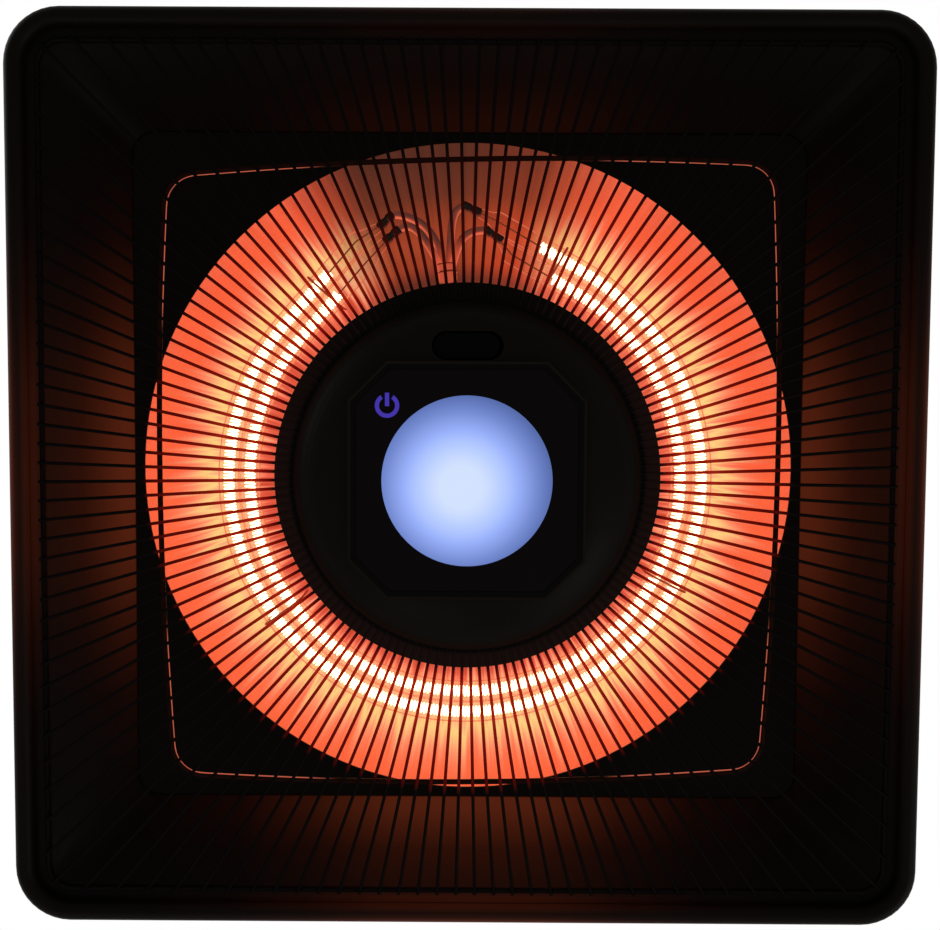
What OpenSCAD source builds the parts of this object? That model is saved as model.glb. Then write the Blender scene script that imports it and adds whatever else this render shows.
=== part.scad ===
// Hanging electric patio heater with a square shade, a ring-shaped twin quartz tube,
// a radial wire guard and a round hub with a lamp, a touch key and a main switch.
// Origin: centre of the ceiling plate's upper face. +Z points up, -Y is the side with the switch.

/* [Ceiling mount] */
// Diameter of the ceiling plate
ceiling_plate_d = 84; // [80:1:140]
// Thickness of the ceiling plate
ceiling_plate_t = 4; // [3:0.5:8]
// Diameter of the threaded boss under the ceiling plate
boss_d = 22; // [18:1:40]
// Height of the threaded boss
boss_h = 10; // [8:0.5:20]
// Diameter of the circle that the ceiling screws lie on
ceiling_screw_circle_d = 62; // [56:1:68]
// Number of ceiling screws
ceiling_screw_n = 4; // [3:1:6]
// Diameter of the ceiling screw holes
ceiling_screw_hole_d = 5.5; // [4:0.1:6.5]

/* [Hanging eyes] */
// Inside diameter of both hanging eyes
eye_hole_d = 20; // [17:0.5:30]
// Thickness of the eyes' wire
eye_wire_d = 8; // [6:0.5:10]
// Diameter of the threaded stems of the eyes
stem_d = 8; // [6:0.5:10]
// Diameter of the eyes' collars
collar_d = 20; // [18:0.5:26]
// Thickness of the eyes' collars
collar_t = 3; // [2:0.5:6]
// Width of the stem nuts across the flats
stem_nut_af = 13; // [12.5:0.5:17]
// Thickness of the stem nuts
stem_nut_t = 6.5; // [5:0.5:10]

/* [Snap link] */
// Thickness of the snap link's wire
link_wire_d = 6; // [5:0.5:7]
// Width inside the snap link
link_inside_w = 22; // [21:0.5:30]
// Length inside the snap link
link_inside_l = 54; // [50:1:90]
// Diameter of the gate's hinge pin
gate_pin_d = 2; // [1.5:0.1:2.5]
// Thickness of the gate's tongue in its fork
gate_tongue_t = 2.4; // [2:0.1:3]

/* [Shade] */
// Width of the square shade over its rolled rim
shade_w = 425; // [420:1:440]
// Corner radius of the rim
rim_corner_r = 26; // [24:1:32]
// Thickness of the shade's sheet
sheet_t = 1; // [0.8:0.1:1.2]
// Diameter of the rolled edge
bead_d = 9; // [7:0.5:11]
// Distance from the outer edge to the foot of the sloping skirt
gutter_w = 16; // [15:0.5:20]
// Narrowest width of the baffle plate outside the reflector's opening
baffle_web = 4.2; // [3.5:0.1:6]
// Thickness of the baffle plate
baffle_t = 1.2; // [1:0.1:2]
// Height of the baffle plate above the rim
baffle_h = 38; // [32:1:46]
// Room between the reflector's crown and the outside of the shade's top
crown_room = 32.8; // [30:0.1:50]
// Width of the shade's flat top
shade_top_w = 226; // [220:1:240]
// Diameter of the opening in the shade's top
top_opening_d = 100; // [98:1:104]

/* [Reflector and heating tube] */
// Diameter of the reflector's opening
opening_d = 315.6; // [310:0.5:318]
// Thickness of the reflector's sheet
reflector_t = 0.8; // [0.6:0.1:1.2]
// Depth of the reflector above the baffle plate
reflector_depth = 46; // [40:1:50]
// Width of the flange that rests on the baffle plate
reflector_flange_w = 3.2; // [2.5:0.1:3.6]
// Diameter of the ring midway between the two quartz tubes
tube_ring_d = 227.5; // [218:0.5:232]
// How far the tubes' ring sits off the hub's axis, to the right
ring_shift_x = -1.5; // [-3:0.5:3]
// How far the tubes' ring sits off the hub's axis, away from its ends
ring_shift_y = 5.9; // [0:0.1:7]
// Outside diameter of each quartz tube
quartz_d = 10.6; // [10:0.2:12]
// Wall of each quartz tube
quartz_wall = 1.2; // [1:0.1:1.5]
// Height of the tubes' centre above the rim
tube_h = 59; // [54:1:64]
// Diameter of the heating filaments
filament_d = 4.5; // [3:0.5:5]
// Thickness of the wire of the tube clips
clip_wire_d = 1.2; // [1:0.1:1.6]
// Diameter of the insulating sleeves on the leads
sleeve_d = 3.4; // [3:0.2:4.4]

/* [Guard] */
// Number of radial wires
guard_wire_n = 140; // [60:2:144]
// Thickness of the radial wires
guard_wire_d = 1.5; // [1.2:0.1:1.8]
// Thickness of the wire of the three guard rings
guard_ring_d = 2.5; // [2:0.1:3]
// Width of the inner support ring, measured between the middles of its sides
support_ring_w = 286.6; // [260:0.5:300]
// Corner radius of the support ring
support_corner_r = 16; // [10:1:40]
// Radius of the support ring's bowed sides
support_side_r = 2000; // [900:100:3000]

/* [Hub] */
// Diameter of the hub pan's flange, which covers the reflector's inner edge
hub_flange_d = 175.8; // [172:0.2:178]
// Thickness of that flange
hub_flange_t = 4; // [3:0.5:5]
// Depth of the flange's face below the rim
hub_flange_drop = 8; // [6:0.5:9]
// Height of the hub pan's top above the rim
hub_pan_h = 24; // [20:1:30]
// Distance from the main switch's slot to the hub cover's rim
slot_margin = 13.5; // [12.5:0.1:14.5]
// Depth of the hub cover's face below the rim
hub_face_drop = 34; // [33:0.5:38]
// Wall of the hub cover
cover_wall = 2; // [1.6:0.1:2.4]
// Width of the square control panel
panel_w = 104; // [102:0.5:106]
// Length of the panel's cut corners along each side
panel_chamfer = 17; // [14:0.5:20]
// Width of the panel's raised border
panel_border = 3.5; // [3:0.1:4]
// Height of the panel's raised border
panel_border_h = 1.6; // [1.2:0.1:2.4]
// Diameter of the lamp's lens
lens_d = 74.6; // [70:0.2:76]
// Diameter of the power symbol
symbol_d = 10.6; // [8:0.2:12]
// Diameter of the column that carries the hub
column_d = 60; // [40:1:64]

/* [Main switch] */
// Length of the switch slot
slot_l = 31.4; // [28:0.2:34]
// Width of the switch slot
slot_w = 12.8; // [11:0.2:14]
// Tilt of the rocker to each side
rocker_tilt = 8; // [6:0.5:9]

/* [Top cap] */
// Diameter of the top cap
cap_d = 150; // [146:1:156]
// Height of the top cap with its gasket
cap_h = 30; // [28:1:40]
// Width of the cap's flange
cap_flange_w = 13; // [12:0.5:15]
// Thickness of the cap's top
cap_top_t = 2; // [1.5:0.1:3]
// Thickness of the flat gasket
gasket_t = 1; // [0.5:0.1:2]
// Diameter of the cable passage in the gland
gland_bore_d = 8; // [6:0.5:9]
// Outside diameter of the gland's thread
gland_thread_d = 16; // [14:0.5:18]

/* [Hidden] */
$fn = 64;

// Gaps between pieces
contact_gap = 0.4;    // between the snap link and each eye
fit_gap = 0.1;        // radial clearance of stems, screws and pins
seat_gap = 0.3;       // between curved pieces that rest on each other
weld_gap = 0.05;      // between the guard's wires and its rings
merge = 1.5;          // how far a ring runs into its collar

// Small fasteners, M4 and M3
screw_d = 4;
screw_head_d = 7.6;
screw_head_h = 2.6;
nut_af = 7;
nut_t = 3.2;

// Colours
black = [0.07, 0.07, 0.07];
zinc = [0.72, 0.72, 0.74];
dark = [0.12, 0.12, 0.13];
wire_black = [0.15, 0.1, 0.09];
aluminium = [0.8, 0.78, 0.74];

// Heights of the baffle, the crown and the shade above the rim
baffle_top = baffle_h + baffle_t;
apex_h = baffle_top + reflector_depth;
shade_h = apex_h + crown_room;

// Heights down from the ceiling
eye_mid_r = (eye_hole_d + eye_wire_d) / 2;
link_mid_r = (link_inside_w + link_wire_d) / 2;
plate_bottom = -ceiling_plate_t;
boss_bottom = plate_bottom - boss_h;
locknut_bottom = boss_bottom - stem_nut_t;
ceiling_collar_bottom = locknut_bottom - collar_t;
ceiling_eye_z = ceiling_collar_bottom + merge - eye_wire_d / 2 - eye_mid_r;
hang_z = ceiling_eye_z - eye_mid_r;
link_top_z = hang_z + eye_wire_d / 2 + contact_gap + link_wire_d / 2;
link_upper_z = link_top_z - link_mid_r;
link_straight = link_inside_l + link_wire_d - 2 * link_mid_r;
link_lower_z = link_upper_z - link_straight;
link_bottom_z = link_lower_z - link_mid_r;
heater_eye_top = link_bottom_z + link_wire_d / 2 + contact_gap + eye_wire_d / 2;
heater_eye_z = heater_eye_top - eye_mid_r;
heater_collar_top = heater_eye_z - eye_mid_r - eye_wire_d / 2 + merge;
cap_top = heater_collar_top - collar_t;
rim_z = cap_top - cap_h - shade_h;

// Shade, from the rim up
half_w = shade_w / 2;
bead_r = bead_d / 2;
rim_core = half_w - rim_corner_r;
ledge_h = bead_d - sheet_t;
skirt_w = half_w - gutter_w;
baffle_half = opening_d / 2 + baffle_web;
baffle_w = 2 * baffle_half;
shoulder_w = baffle_half + seat_gap;
top_half = shade_top_w / 2;
corner_gain = 0.04;   // how fast the corner radius grows as the shade narrows
corner_n = 10;        // facets in each corner of the shade
curl_n = 14;          // facets around the rolled edge
curl_start = -205;    // where the roll starts, in degrees

// Reflector and tube
opening_r = opening_d / 2;
ring_r = tube_ring_d / 2;
trough_inner_r = hub_flange_d / 2 - 0.2;
arc_n = 18;           // facets in each quarter of the trough
ring_shift = [ring_shift_x, ring_shift_y];
quartz_r = quartz_d / 2;
tube_r = quartz_d / 2 - 0.1;    // leaves the twin tubes 0.2 mm apart, bridged by a web
outer_tube_r = ring_r + quartz_r;
inner_tube_r = ring_r - quartz_r;
bore_d = quartz_d - 2 * quartz_wall;
// The arc runs from right_turn to left_turn, and straight ends run on from there
right_turn = -60;
left_turn = 221;
// Each straight end stops at a share of the way from the ring to the opening's edge
function end_run(r, share) = sqrt(pow(ring_r + share * (opening_r - ring_r), 2) - r * r);
end_outer_right = end_run(outer_tube_r, 0.4534);
end_inner_right = end_run(inner_tube_r, 0.1010);
end_outer_left = end_run(outer_tube_r, 0.4808);
end_inner_left = end_run(inner_tube_r, 0.2313);
seal_l = 8;           // length of the pinched seals
hot_outer_right = 26;
hot_inner_right = 13;
hot_left = 33;
lead_d = 1.2;
end_cap_d = 6;
end_cap_l = 8;
// Sleeves run into a bundle that enters the hub at this angle
bundle_angle = -96.6;
bundle_pitch = sleeve_d + 0.1;
grommet_bore_d = sleeve_d * 2.5;
grommet_d = grommet_bore_d + 1.6;
grommet_band_t = 1;
grommet_out_r = 102.4;
grommet_in_r = 82;
wall_r_at_tube = ring_r - (ring_r - trough_inner_r) * sqrt(1 - (tube_h - baffle_top) / reflector_depth);
// Clips: angle for those on the arc, distance along the straight for those on the ends
clip_arc_angles = [27, 143.5];
clip_right_run = 14;
clip_left_run = 24;

// Hub
flange_r = hub_flange_d / 2;
slot_gap = 0.6;       // from the panel's side to the main switch's slot
panel_half = panel_w / 2;
slot_y = -(panel_half + slot_gap + slot_w / 2);
cover_r = slot_w / 2 + slot_margin - slot_y;
pan_wall = 2.5;
pan_r = flange_r - 4;
pan_top_t = 2.5;
guard_clear = 0.15;
guard_edge_h = -hub_flange_drop - guard_wire_d / 2 - guard_clear;
guard_tip_r = cover_r - 5.4;
cover_rim_h = -hub_flange_drop - guard_wire_d - 1.5;
dome_flat_r = 40;
dome_depth = hub_face_drop + cover_rim_h;
face_h = -hub_face_drop;
floor_h = face_h + cover_wall;
glass_half = panel_half - panel_border;
inset_gain = 2 - sqrt(2);
lens_r = lens_d / 2;
lamp_hole_r = lens_r - 3;
post_r = 43;
post_d = 8.4;
post_split_h = -6;
symbol_xy = [-34.9, -32.7];
symbol_stroke = 1.8;
touch_board_d = 15;
well_top_h = -24;
well_wall = 2;
paddle_l = slot_l - 2.4;
paddle_w = slot_w - 2;
rocker_pivot_h = well_top_h + 2;
rocker_pin_d = 3;
housing_depth = 15;
housing_l = slot_l + 2.6;
housing_w = slot_w + 2.6;

// Column, chassis and cap
column_r = column_d / 2;
column_wall = 1.5;
column_flange_r = top_opening_d / 2 - 4;
column_flange_t = 2;
column_screw_r = (column_r + column_flange_r) / 2;
chassis_r = cap_d / 2 - 6;
chassis_t = 1.5;
chassis_screw_r = (top_opening_d / 2 + chassis_r) / 2;
cap_wall = 1.5;
cap_flange_t = 1.5;
cap_round_r = 6;
cap_screw_r = cap_d / 2 + cap_flange_w / 2;
shield_drop = 18;     // from the shade's top down to the heat shield
shield_h = shade_h - shield_drop;
shield_t = 0.8;
shield_post_r = cap_d / 2 + cap_flange_w + 5;
shield_post_d = 6;
shield_screw_grip = 10;
shield_r = shield_post_r + 15;
gland_y = 46;
gland_hex_af = gland_thread_d + 4;

// Guard rings
outer_ring_half = skirt_w + guard_ring_d / 2 + 0.2;
outer_ring_corner = outer_ring_half - rim_core;
outer_ring_h = ledge_h - guard_ring_d / 2 - 0.2;
guard_end_h = outer_ring_h - guard_ring_d / 2 - guard_wire_d / 2 - weld_gap;
guard_overhang = 1.5;
support_half = support_ring_w / 2;

// General shapes
module at_rim() {
    translate([0, 0, rim_z])
        children();
}

module around(n, r, start = 0) {
    for (i = [0:n - 1])
        rotate([0, 0, start + 360 * i / n])
            translate([r, 0, 0])
                children();
}

module tube(d, hole, h) {
    difference() {
        cylinder(d = d, h = h);
        translate([0, 0, -1])
            cylinder(d = hole, h = h + 2);
    }
}

module hex(af, h) {
    cylinder(d = af / cos(30), h = h, $fn = 6);
}

module nut(af, hole, h) {
    difference() {
        hex(af, h);
        translate([0, 0, -1])
            cylinder(d = hole, h = h + 2);
    }
}

// A pan-head screw with its head's underside at 0 and its shank pointing down
module screw(length, d = screw_d, head_d = screw_head_d, head_h = screw_head_h) {
    difference() {
        union() {
            translate([0, 0, -length])
                cylinder(d = d, h = length);
            cylinder(d1 = head_d, d2 = head_d * 0.75, h = head_h);
        }
        // Cross recess
        for (a = [0, 90])
            rotate([0, 0, a])
                translate([-head_d * 0.28, -0.5, head_h * 0.4])
                    cube([head_d * 0.56, 1, head_h]);
    }
}

// A nut with its upper face at 0
module nut_below(af = nut_af, d = screw_d, h = nut_t) {
    translate([0, 0, -h])
        nut(af, d + 2 * fit_gap, h);
}

module rounded_square(w, r) {
    square([w, w - 2 * r], center = true);
    square([w - 2 * r, w], center = true);
    for (x = [-1, 1], y = [-1, 1])
        translate([x * (w / 2 - r), y * (w / 2 - r)])
            circle(r = r);
}

module stadium(l, w) {
    square([l - w, w], center = true);
    for (x = [-1, 1])
        translate([x * (l - w) / 2, 0])
            circle(d = w);
}

module cut_square(half, cut) {
    inner = half - cut;
    polygon([
        [half, -inner], [half, inner], [inner, half], [-inner, half],
        [-half, inner], [-half, -inner], [-inner, -half], [inner, -half]
    ]);
}

module arc_rod(r, d, angle) {
    rotate_extrude(angle = angle, $fn = 128)
        translate([r, 0])
            circle(d = d, $fn = 32);
}

// A ring of wire that follows a square with round corners
module square_ring(half, corner, d) {
    run = half - corner;
    for (k = [0:3])
        rotate([0, 0, 90 * k]) {
            translate([half, -run, 0])
                rotate([-90, 0, 0])
                    cylinder(d = d, h = 2 * run, $fn = 32);
            translate([run, run, 0])
                arc_rod(corner, d, 90);
        }
}

// Distance from the origin, along direction u, to a circle that holds the origin or lies ahead of it
function ray_to_circle(u, c, r) = c * u + sqrt(pow(c * u, 2) - c * c + r * r);

// Distance from the centre to a square with round corners, at an angle
function fold(a) = abs(((a + 45) % 90 + 90) % 90 - 45);
function square_reach(a, half, corner) =
    let (f = fold(a), run = half - corner)
    tan(f) * half <= run
        ? half / cos(f)
        : ray_to_circle([cos(f), sin(f)], [run, run], corner);

// Unit vectors and a mitred offset for a line of points
function unit(v) = v / norm(v);
function side(d) = [d[1], -d[0]];
function step_side(p, i) = side(unit(p[i + 1] - p[i]));
function mitre(p, i) =
    let (
        last = len(p) - 1,
        a = step_side(p, i > 0 ? i - 1 : 0),
        b = step_side(p, i < last ? i : last - 1)
    )
    (a + b) / (1 + a * b);
function offset_line(p, t) = [for (i = [0:len(p) - 1]) p[i] + t * mitre(p, i)];
function reversed(p) = [for (i = [len(p) - 1:-1:0]) p[i]];

// Ceiling mount
module ceiling_plate() {
    color(black)
        difference() {
            union() {
                translate([0, 0, plate_bottom])
                    cylinder(d1 = ceiling_plate_d - 3, d2 = ceiling_plate_d, h = ceiling_plate_t, $fn = 96);
                translate([0, 0, boss_bottom])
                    cylinder(d = boss_d, h = boss_h + 1);
            }
            translate([0, 0, boss_bottom - 1])
                cylinder(d = stem_d + 2 * fit_gap, h = boss_h + ceiling_plate_t - 1);
            around(ceiling_screw_n, ceiling_screw_circle_d / 2, 45)
                translate([0, 0, plate_bottom - 1])
                    cylinder(d = ceiling_screw_hole_d, h = ceiling_plate_t + 2);
        }
}

// An eye with its stem up: its ring's centre at 0
module eye(stem_l) {
    rotate([90, 0, 0])
        rotate_extrude($fn = 96)
            translate([eye_mid_r, 0])
                circle(d = eye_wire_d, $fn = 48);
    translate([0, 0, eye_mid_r + eye_wire_d / 2 - merge])
        cylinder(d = collar_d, h = collar_t);
    translate([0, 0, eye_mid_r + eye_wire_d / 2 - merge])
        cylinder(d = stem_d, h = collar_t + stem_l);
}

module ceiling_eye() {
    color(zinc)
        translate([0, 0, ceiling_eye_z])
            eye(stem_nut_t + boss_h - 2);
}

module eye_locknut() {
    color(zinc)
        translate([0, 0, locknut_bottom])
            nut(stem_nut_af, stem_d + 2 * fit_gap, stem_nut_t);
}

// Snap link: a bent wire loop with a hinged gate on the +Y leg
fork_w = 2 * gate_tongue_t + 3.6;
fork_slot = 2 * gate_tongue_t;
fork_r = 4.2;
fork_z = link_lower_z + 5;
fork_slot_drop = 3.6;
tongue_r = 2.7;
gate_d = link_wire_d - 0.5;
gate_rod_rise = 6.5;
nose_l = 4;
gate_gap = 0.4;
spring_t = 1.6;

module link_end(z, start) {
    translate([0, 0, z])
        rotate([0, 90, 0])
            rotate([0, 0, start])
                arc_rod(link_mid_r, link_wire_d, 180);
}

module link_leg(y, z, h) {
    translate([0, y, z])
        cylinder(d = link_wire_d, h = h, $fn = 32);
}

module snap_link() {
    color(zinc)
        difference() {
            union() {
                link_end(link_upper_z, 90);
                link_end(link_lower_z, -90);
                link_leg(-link_mid_r, link_lower_z, link_straight);
                link_leg(link_mid_r, link_lower_z, fork_z - link_lower_z);
                link_leg(link_mid_r, link_upper_z - nose_l, nose_l);
                translate([-fork_w / 2, link_mid_r, fork_z])
                    rotate([0, 90, 0])
                        cylinder(r = fork_r, h = fork_w, $fn = 48);
            }
            // The slot is closed on its outer side, which stops the gate
            translate([-fork_slot / 2, link_mid_r - 10, fork_z - fork_slot_drop])
                cube([fork_slot, 10 + tongue_r + seat_gap, 12]);
            translate([-fork_w, link_mid_r, fork_z])
                rotate([0, 90, 0])
                    cylinder(d = gate_pin_d + fit_gap, h = 2 * fork_w, $fn = 32);
        }
}

module gate_pin() {
    color(zinc)
        translate([-fork_w / 2, link_mid_r, fork_z])
            rotate([0, 90, 0])
                cylinder(d = gate_pin_d, h = fork_w, $fn = 32);
}

// A small coil that turns the gate shut, held on the pin beside the tongue
module gate_spring() {
    color(zinc)
        translate([fork_slot / 2 - spring_t - fit_gap, link_mid_r, fork_z])
            rotate([0, 90, 0])
                tube(2 * tongue_r - 0.4, gate_pin_d + 0.3, spring_t, $fn = 32);
}

module snap_gate() {
    top = link_upper_z - nose_l - gate_gap;
    color(zinc)
        translate([0, link_mid_r, fork_z])
            difference() {
                union() {
                    translate([-fork_slot / 2 + fit_gap, 0, 0])
                        rotate([0, 90, 0])
                            cylinder(r = tongue_r, h = gate_tongue_t, $fn = 48);
                    translate([-fork_slot / 2 + fit_gap, -tongue_r, 0])
                        cube([gate_tongue_t, 2 * tongue_r, gate_rod_rise + 1]);
                    translate([0, 0, gate_rod_rise])
                        cylinder(d = gate_d, h = top - fork_z - gate_rod_rise, $fn = 32);
                }
                translate([-fork_w, 0, 0])
                    rotate([0, 90, 0])
                        cylinder(d = gate_pin_d + 2 * fit_gap, h = 2 * fork_w, $fn = 32);
            }
}

// Heater eye and its fixing through the top cap
eye_washer_t = 1.6;

module heater_eye() {
    color(zinc)
        translate([0, 0, heater_eye_z])
            rotate([180, 0, 0])
                eye(cap_top_t + eye_washer_t + stem_nut_t + 2);
}

module eye_washer() {
    color(zinc)
        translate([0, 0, cap_top - cap_top_t - eye_washer_t])
            tube(stem_nut_af * 1.8, stem_d + 2 * fit_gap, eye_washer_t);
}

module eye_nut() {
    color(zinc)
        translate([0, 0, cap_top - cap_top_t - eye_washer_t - stem_nut_t])
            nut(stem_nut_af, stem_d + 2 * fit_gap, stem_nut_t);
}

// Top cap: a round cover over the terminals
module top_cap() {
    flange_z = -cap_h + gasket_t;
    round_line = [
        for (i = [0:8])
            let (a = 90 * i / 8)
            [cap_d / 2 - cap_round_r + cap_round_r * cos(a), cap_round_r * (sin(a) - 1)]
    ];
    outer_line = concat(
        [[cap_d / 2 + cap_flange_w, flange_z + cap_flange_t], [cap_d / 2, flange_z + cap_flange_t]],
        round_line,
        [[0, 0]]
    );
    inner_line = [
        [0, -cap_top_t],
        [cap_d / 2 - cap_round_r, -cap_top_t],
        [cap_d / 2 - cap_wall, -cap_round_r],
        [cap_d / 2 - cap_wall, flange_z],
        [cap_d / 2 + cap_flange_w, flange_z]
    ];
    color(black)
        translate([0, 0, cap_top])
            difference() {
                rotate_extrude($fn = 128)
                    polygon(concat(outer_line, inner_line));
                translate([0, 0, -cap_top_t - 1])
                    cylinder(d = stem_d + 2 * fit_gap, h = cap_top_t + 2);
                translate([0, gland_y, -cap_top_t - 1])
                    cylinder(d = gland_thread_d + 2 * fit_gap, h = cap_top_t + 2);
                around(4, cap_screw_r)
                    translate([0, 0, flange_z - 1])
                        cylinder(d = screw_d + 4 * fit_gap, h = cap_flange_t + 2);
            }
}

module cap_gasket() {
    color(dark)
        translate([0, 0, cap_top - cap_h])
            difference() {
                tube(cap_d + 2 * cap_flange_w - 1, cap_d + 1, gasket_t, $fn = 128);
                around(4, cap_screw_r)
                    translate([0, 0, -1])
                        cylinder(d = screw_d + 4 * fit_gap, h = gasket_t + 2);
            }
}

// Screws with nuts under the shade's top
module cap_screws() {
    stack = cap_flange_t + gasket_t + sheet_t;
    color(zinc)
        translate([0, 0, cap_top - cap_h + gasket_t + cap_flange_t])
            around(4, cap_screw_r) {
                screw(stack + nut_t + 2);
                translate([0, 0, -stack])
                    nut_below();
            }
}

// Cable gland in the cap's top
gland_flange_t = 3;
gland_neck_h = 5;
gland_nut_h = 12;
gland_locknut_t = 4;

module gland_body() {
    color(dark)
        translate([0, gland_y, cap_top])
            difference() {
                union() {
                    translate([0, 0, -cap_top_t - gland_locknut_t - 2])
                        cylinder(d = gland_thread_d, h = cap_top_t + gland_locknut_t + 3);
                    hex(gland_hex_af, gland_flange_t);
                    cylinder(d = gland_thread_d, h = gland_flange_t + gland_neck_h);
                }
                translate([0, 0, -20])
                    cylinder(d = gland_bore_d + 2, h = 40);
            }
}

module gland_nut() {
    color(dark)
        translate([0, gland_y, cap_top + gland_flange_t])
            difference() {
                union() {
                    hex(gland_hex_af, gland_nut_h - 4);
                    translate([0, 0, gland_nut_h - 4])
                        cylinder(d1 = gland_hex_af, d2 = gland_bore_d + 5, h = 4);
                }
                translate([0, 0, -1])
                    cylinder(d = gland_thread_d + 2 * fit_gap, h = gland_nut_h - 2);
                translate([0, 0, -1])
                    cylinder(d = gland_bore_d + 1, h = gland_nut_h + 2);
            }
}

module gland_seal() {
    color([0.2, 0.2, 0.2])
        translate([0, gland_y, cap_top + gland_flange_t + gland_neck_h])
            tube(gland_thread_d - 0.4, gland_bore_d, gland_nut_h - gland_neck_h - 3);
}

module gland_locknut() {
    color(dark)
        translate([0, gland_y, cap_top - cap_top_t - gland_locknut_t])
            nut(gland_hex_af, gland_thread_d + 2 * fit_gap, gland_locknut_t);
}

// Chassis plate on the shade's top, inside the cap
module chassis_plate() {
    color(zinc)
        at_rim()
            translate([0, 0, shade_h])
                difference() {
                    cylinder(r = chassis_r, h = chassis_t, $fn = 128);
                    translate([0, 0, -1])
                        cylinder(r = column_r - 12, h = chassis_t + 2);
                    around(4, chassis_screw_r, 45)
                        translate([0, 0, -1])
                            cylinder(d = screw_d + 2 * fit_gap, h = chassis_t + 2);
                    around(4, column_screw_r, 45)
                        translate([0, 0, -1])
                            cylinder(d = screw_d + 2 * fit_gap, h = chassis_t + 2);
                }
}

module chassis_screws() {
    color(zinc)
        at_rim()
            translate([0, 0, shade_h + chassis_t])
                around(4, chassis_screw_r, 45) {
                    screw(chassis_t + sheet_t + nut_t + 1.5);
                    translate([0, 0, -chassis_t - sheet_t])
                        nut_below();
                }
}

terminal_size = [34, 16, 15];

module terminal_block() {
    color([0.85, 0.85, 0.8])
        at_rim()
            translate([0, -34, shade_h + chassis_t])
                difference() {
                    translate([-terminal_size[0] / 2, -terminal_size[1] / 2, 0])
                        cube(terminal_size);
                    for (x = [-10, 0, 10]) {
                        translate([x, -terminal_size[1] / 2 - 1, 5])
                            rotate([-90, 0, 0])
                                cylinder(d = 4, h = terminal_size[1] + 2, $fn = 24);
                        translate([x, 0, 8])
                            cylinder(d = 4, h = terminal_size[2], $fn = 24);
                    }
                }
}

driver_size = [22, 44, 17];

module lamp_driver() {
    color([0.9, 0.9, 0.88])
        at_rim()
            translate([44, 0, shade_h + chassis_t])
                difference() {
                    union() {
                        translate([-driver_size[0] / 2, -driver_size[1] / 2, 0])
                            cube(driver_size);
                        translate([-4, -driver_size[1] / 2 - 4, 0])
                            cube([8, driver_size[1] + 8, 2]);
                    }
                    for (y = [-1, 1])
                        translate([0, y * (driver_size[1] / 2 + 2), -1])
                            cylinder(d = 2.4, h = 4, $fn = 24);
                }
}

// Shade: one pressed sheet, as a section carried round a square with round corners
function corner_r(w) =
    w >= skirt_w ? w - rim_core : skirt_w - rim_core + (skirt_w - w) * corner_gain;
function quadrant(k) = [k == 0 || k == 3 ? 1 : -1, k < 2 ? 1 : -1];
function square_loop(v) = [
    for (k = [0:3], i = [0:corner_n])
        let (
            a = 90 * k + 90 * i / corner_n,
            r = corner_r(v[0]),
            q = quadrant(k) * (v[0] - r)
        )
        [q[0] + r * cos(a), q[1] + r * sin(a), v[1]]
];
loop_n = 4 * (corner_n + 1);
function round_loop(v) = [
    for (i = [0:loop_n - 1])
        let (a = 360 * (i + 0.5) / loop_n)
        [v[0] * cos(a), v[0] * sin(a), v[1]]
];
shade_line = concat(
    [
        for (i = [0:curl_n])
            let (
                a = curl_start + (90 - curl_start) * i / curl_n,
                r = bead_r - sheet_t
            )
            [half_w - bead_r + r * cos(a), bead_r + r * sin(a)]
    ],
    [
        [skirt_w, ledge_h],
        [shoulder_w, baffle_top],
        [top_half, shade_h - sheet_t],
        [top_opening_d / 2, shade_h - sheet_t]
    ]
);
// Half-width of the shade's inside at a height above the baffle plate
function inside_half(h) =
    shoulder_w + (top_half - shoulder_w) * (h - baffle_top) / (shade_h - sheet_t - baffle_top);

module shade() {
    section = concat(shade_line, reversed(offset_line(shade_line, sheet_t)));
    hole = len(shade_line) - 1;
    n = len(section);
    color(black)
        at_rim()
            difference() {
                polyhedron(
                    points = [
                        for (j = [0:n - 1])
                            each (j == hole || j == hole + 1 ? round_loop(section[j]) : square_loop(section[j]))
                    ],
                    faces = [
                        for (j = [0:n - 1], i = [0:loop_n - 1])
                            let (k = (i + 1) % loop_n, m = (j + 1) % n)
                            [j * loop_n + i, j * loop_n + k, m * loop_n + k, m * loop_n + i]
                    ]
                );
                around(4, cap_screw_r)
                    translate([0, 0, shade_h - 5])
                        cylinder(d = screw_d + 2 * fit_gap, h = 10);
                around(4, chassis_screw_r, 45)
                    translate([0, 0, shade_h - 5])
                        cylinder(d = screw_d + 2 * fit_gap, h = 10);
            }
}

// Baffle plate: closes the skirt around the reflector's round opening
ear_reach = 10.5;     // from the opening's edge to each stud
ear_r = opening_r + ear_reach;
ear_d = 12;
stud_d = 4;
stud_h = 7;

module baffle_plate() {
    color(black)
        at_rim()
            translate([0, 0, baffle_h]) {
                difference() {
                    linear_extrude(baffle_t)
                        rounded_square(baffle_w, corner_r(shoulder_w));
                    translate([0, 0, -1])
                        cylinder(r = opening_r, h = baffle_t + 2, $fn = 180);
                }
                around(4, ear_r, 45)
                    cylinder(d = stud_d, h = baffle_t + stud_h);
            }
}

// Brackets that are welded to the shade's side and carry the baffle plate
bracket_w = 20;
bracket_t = 1.5;
bracket_foot = 13;
bracket_rise = 30;
bracket_y = baffle_half * 0.65;

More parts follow.
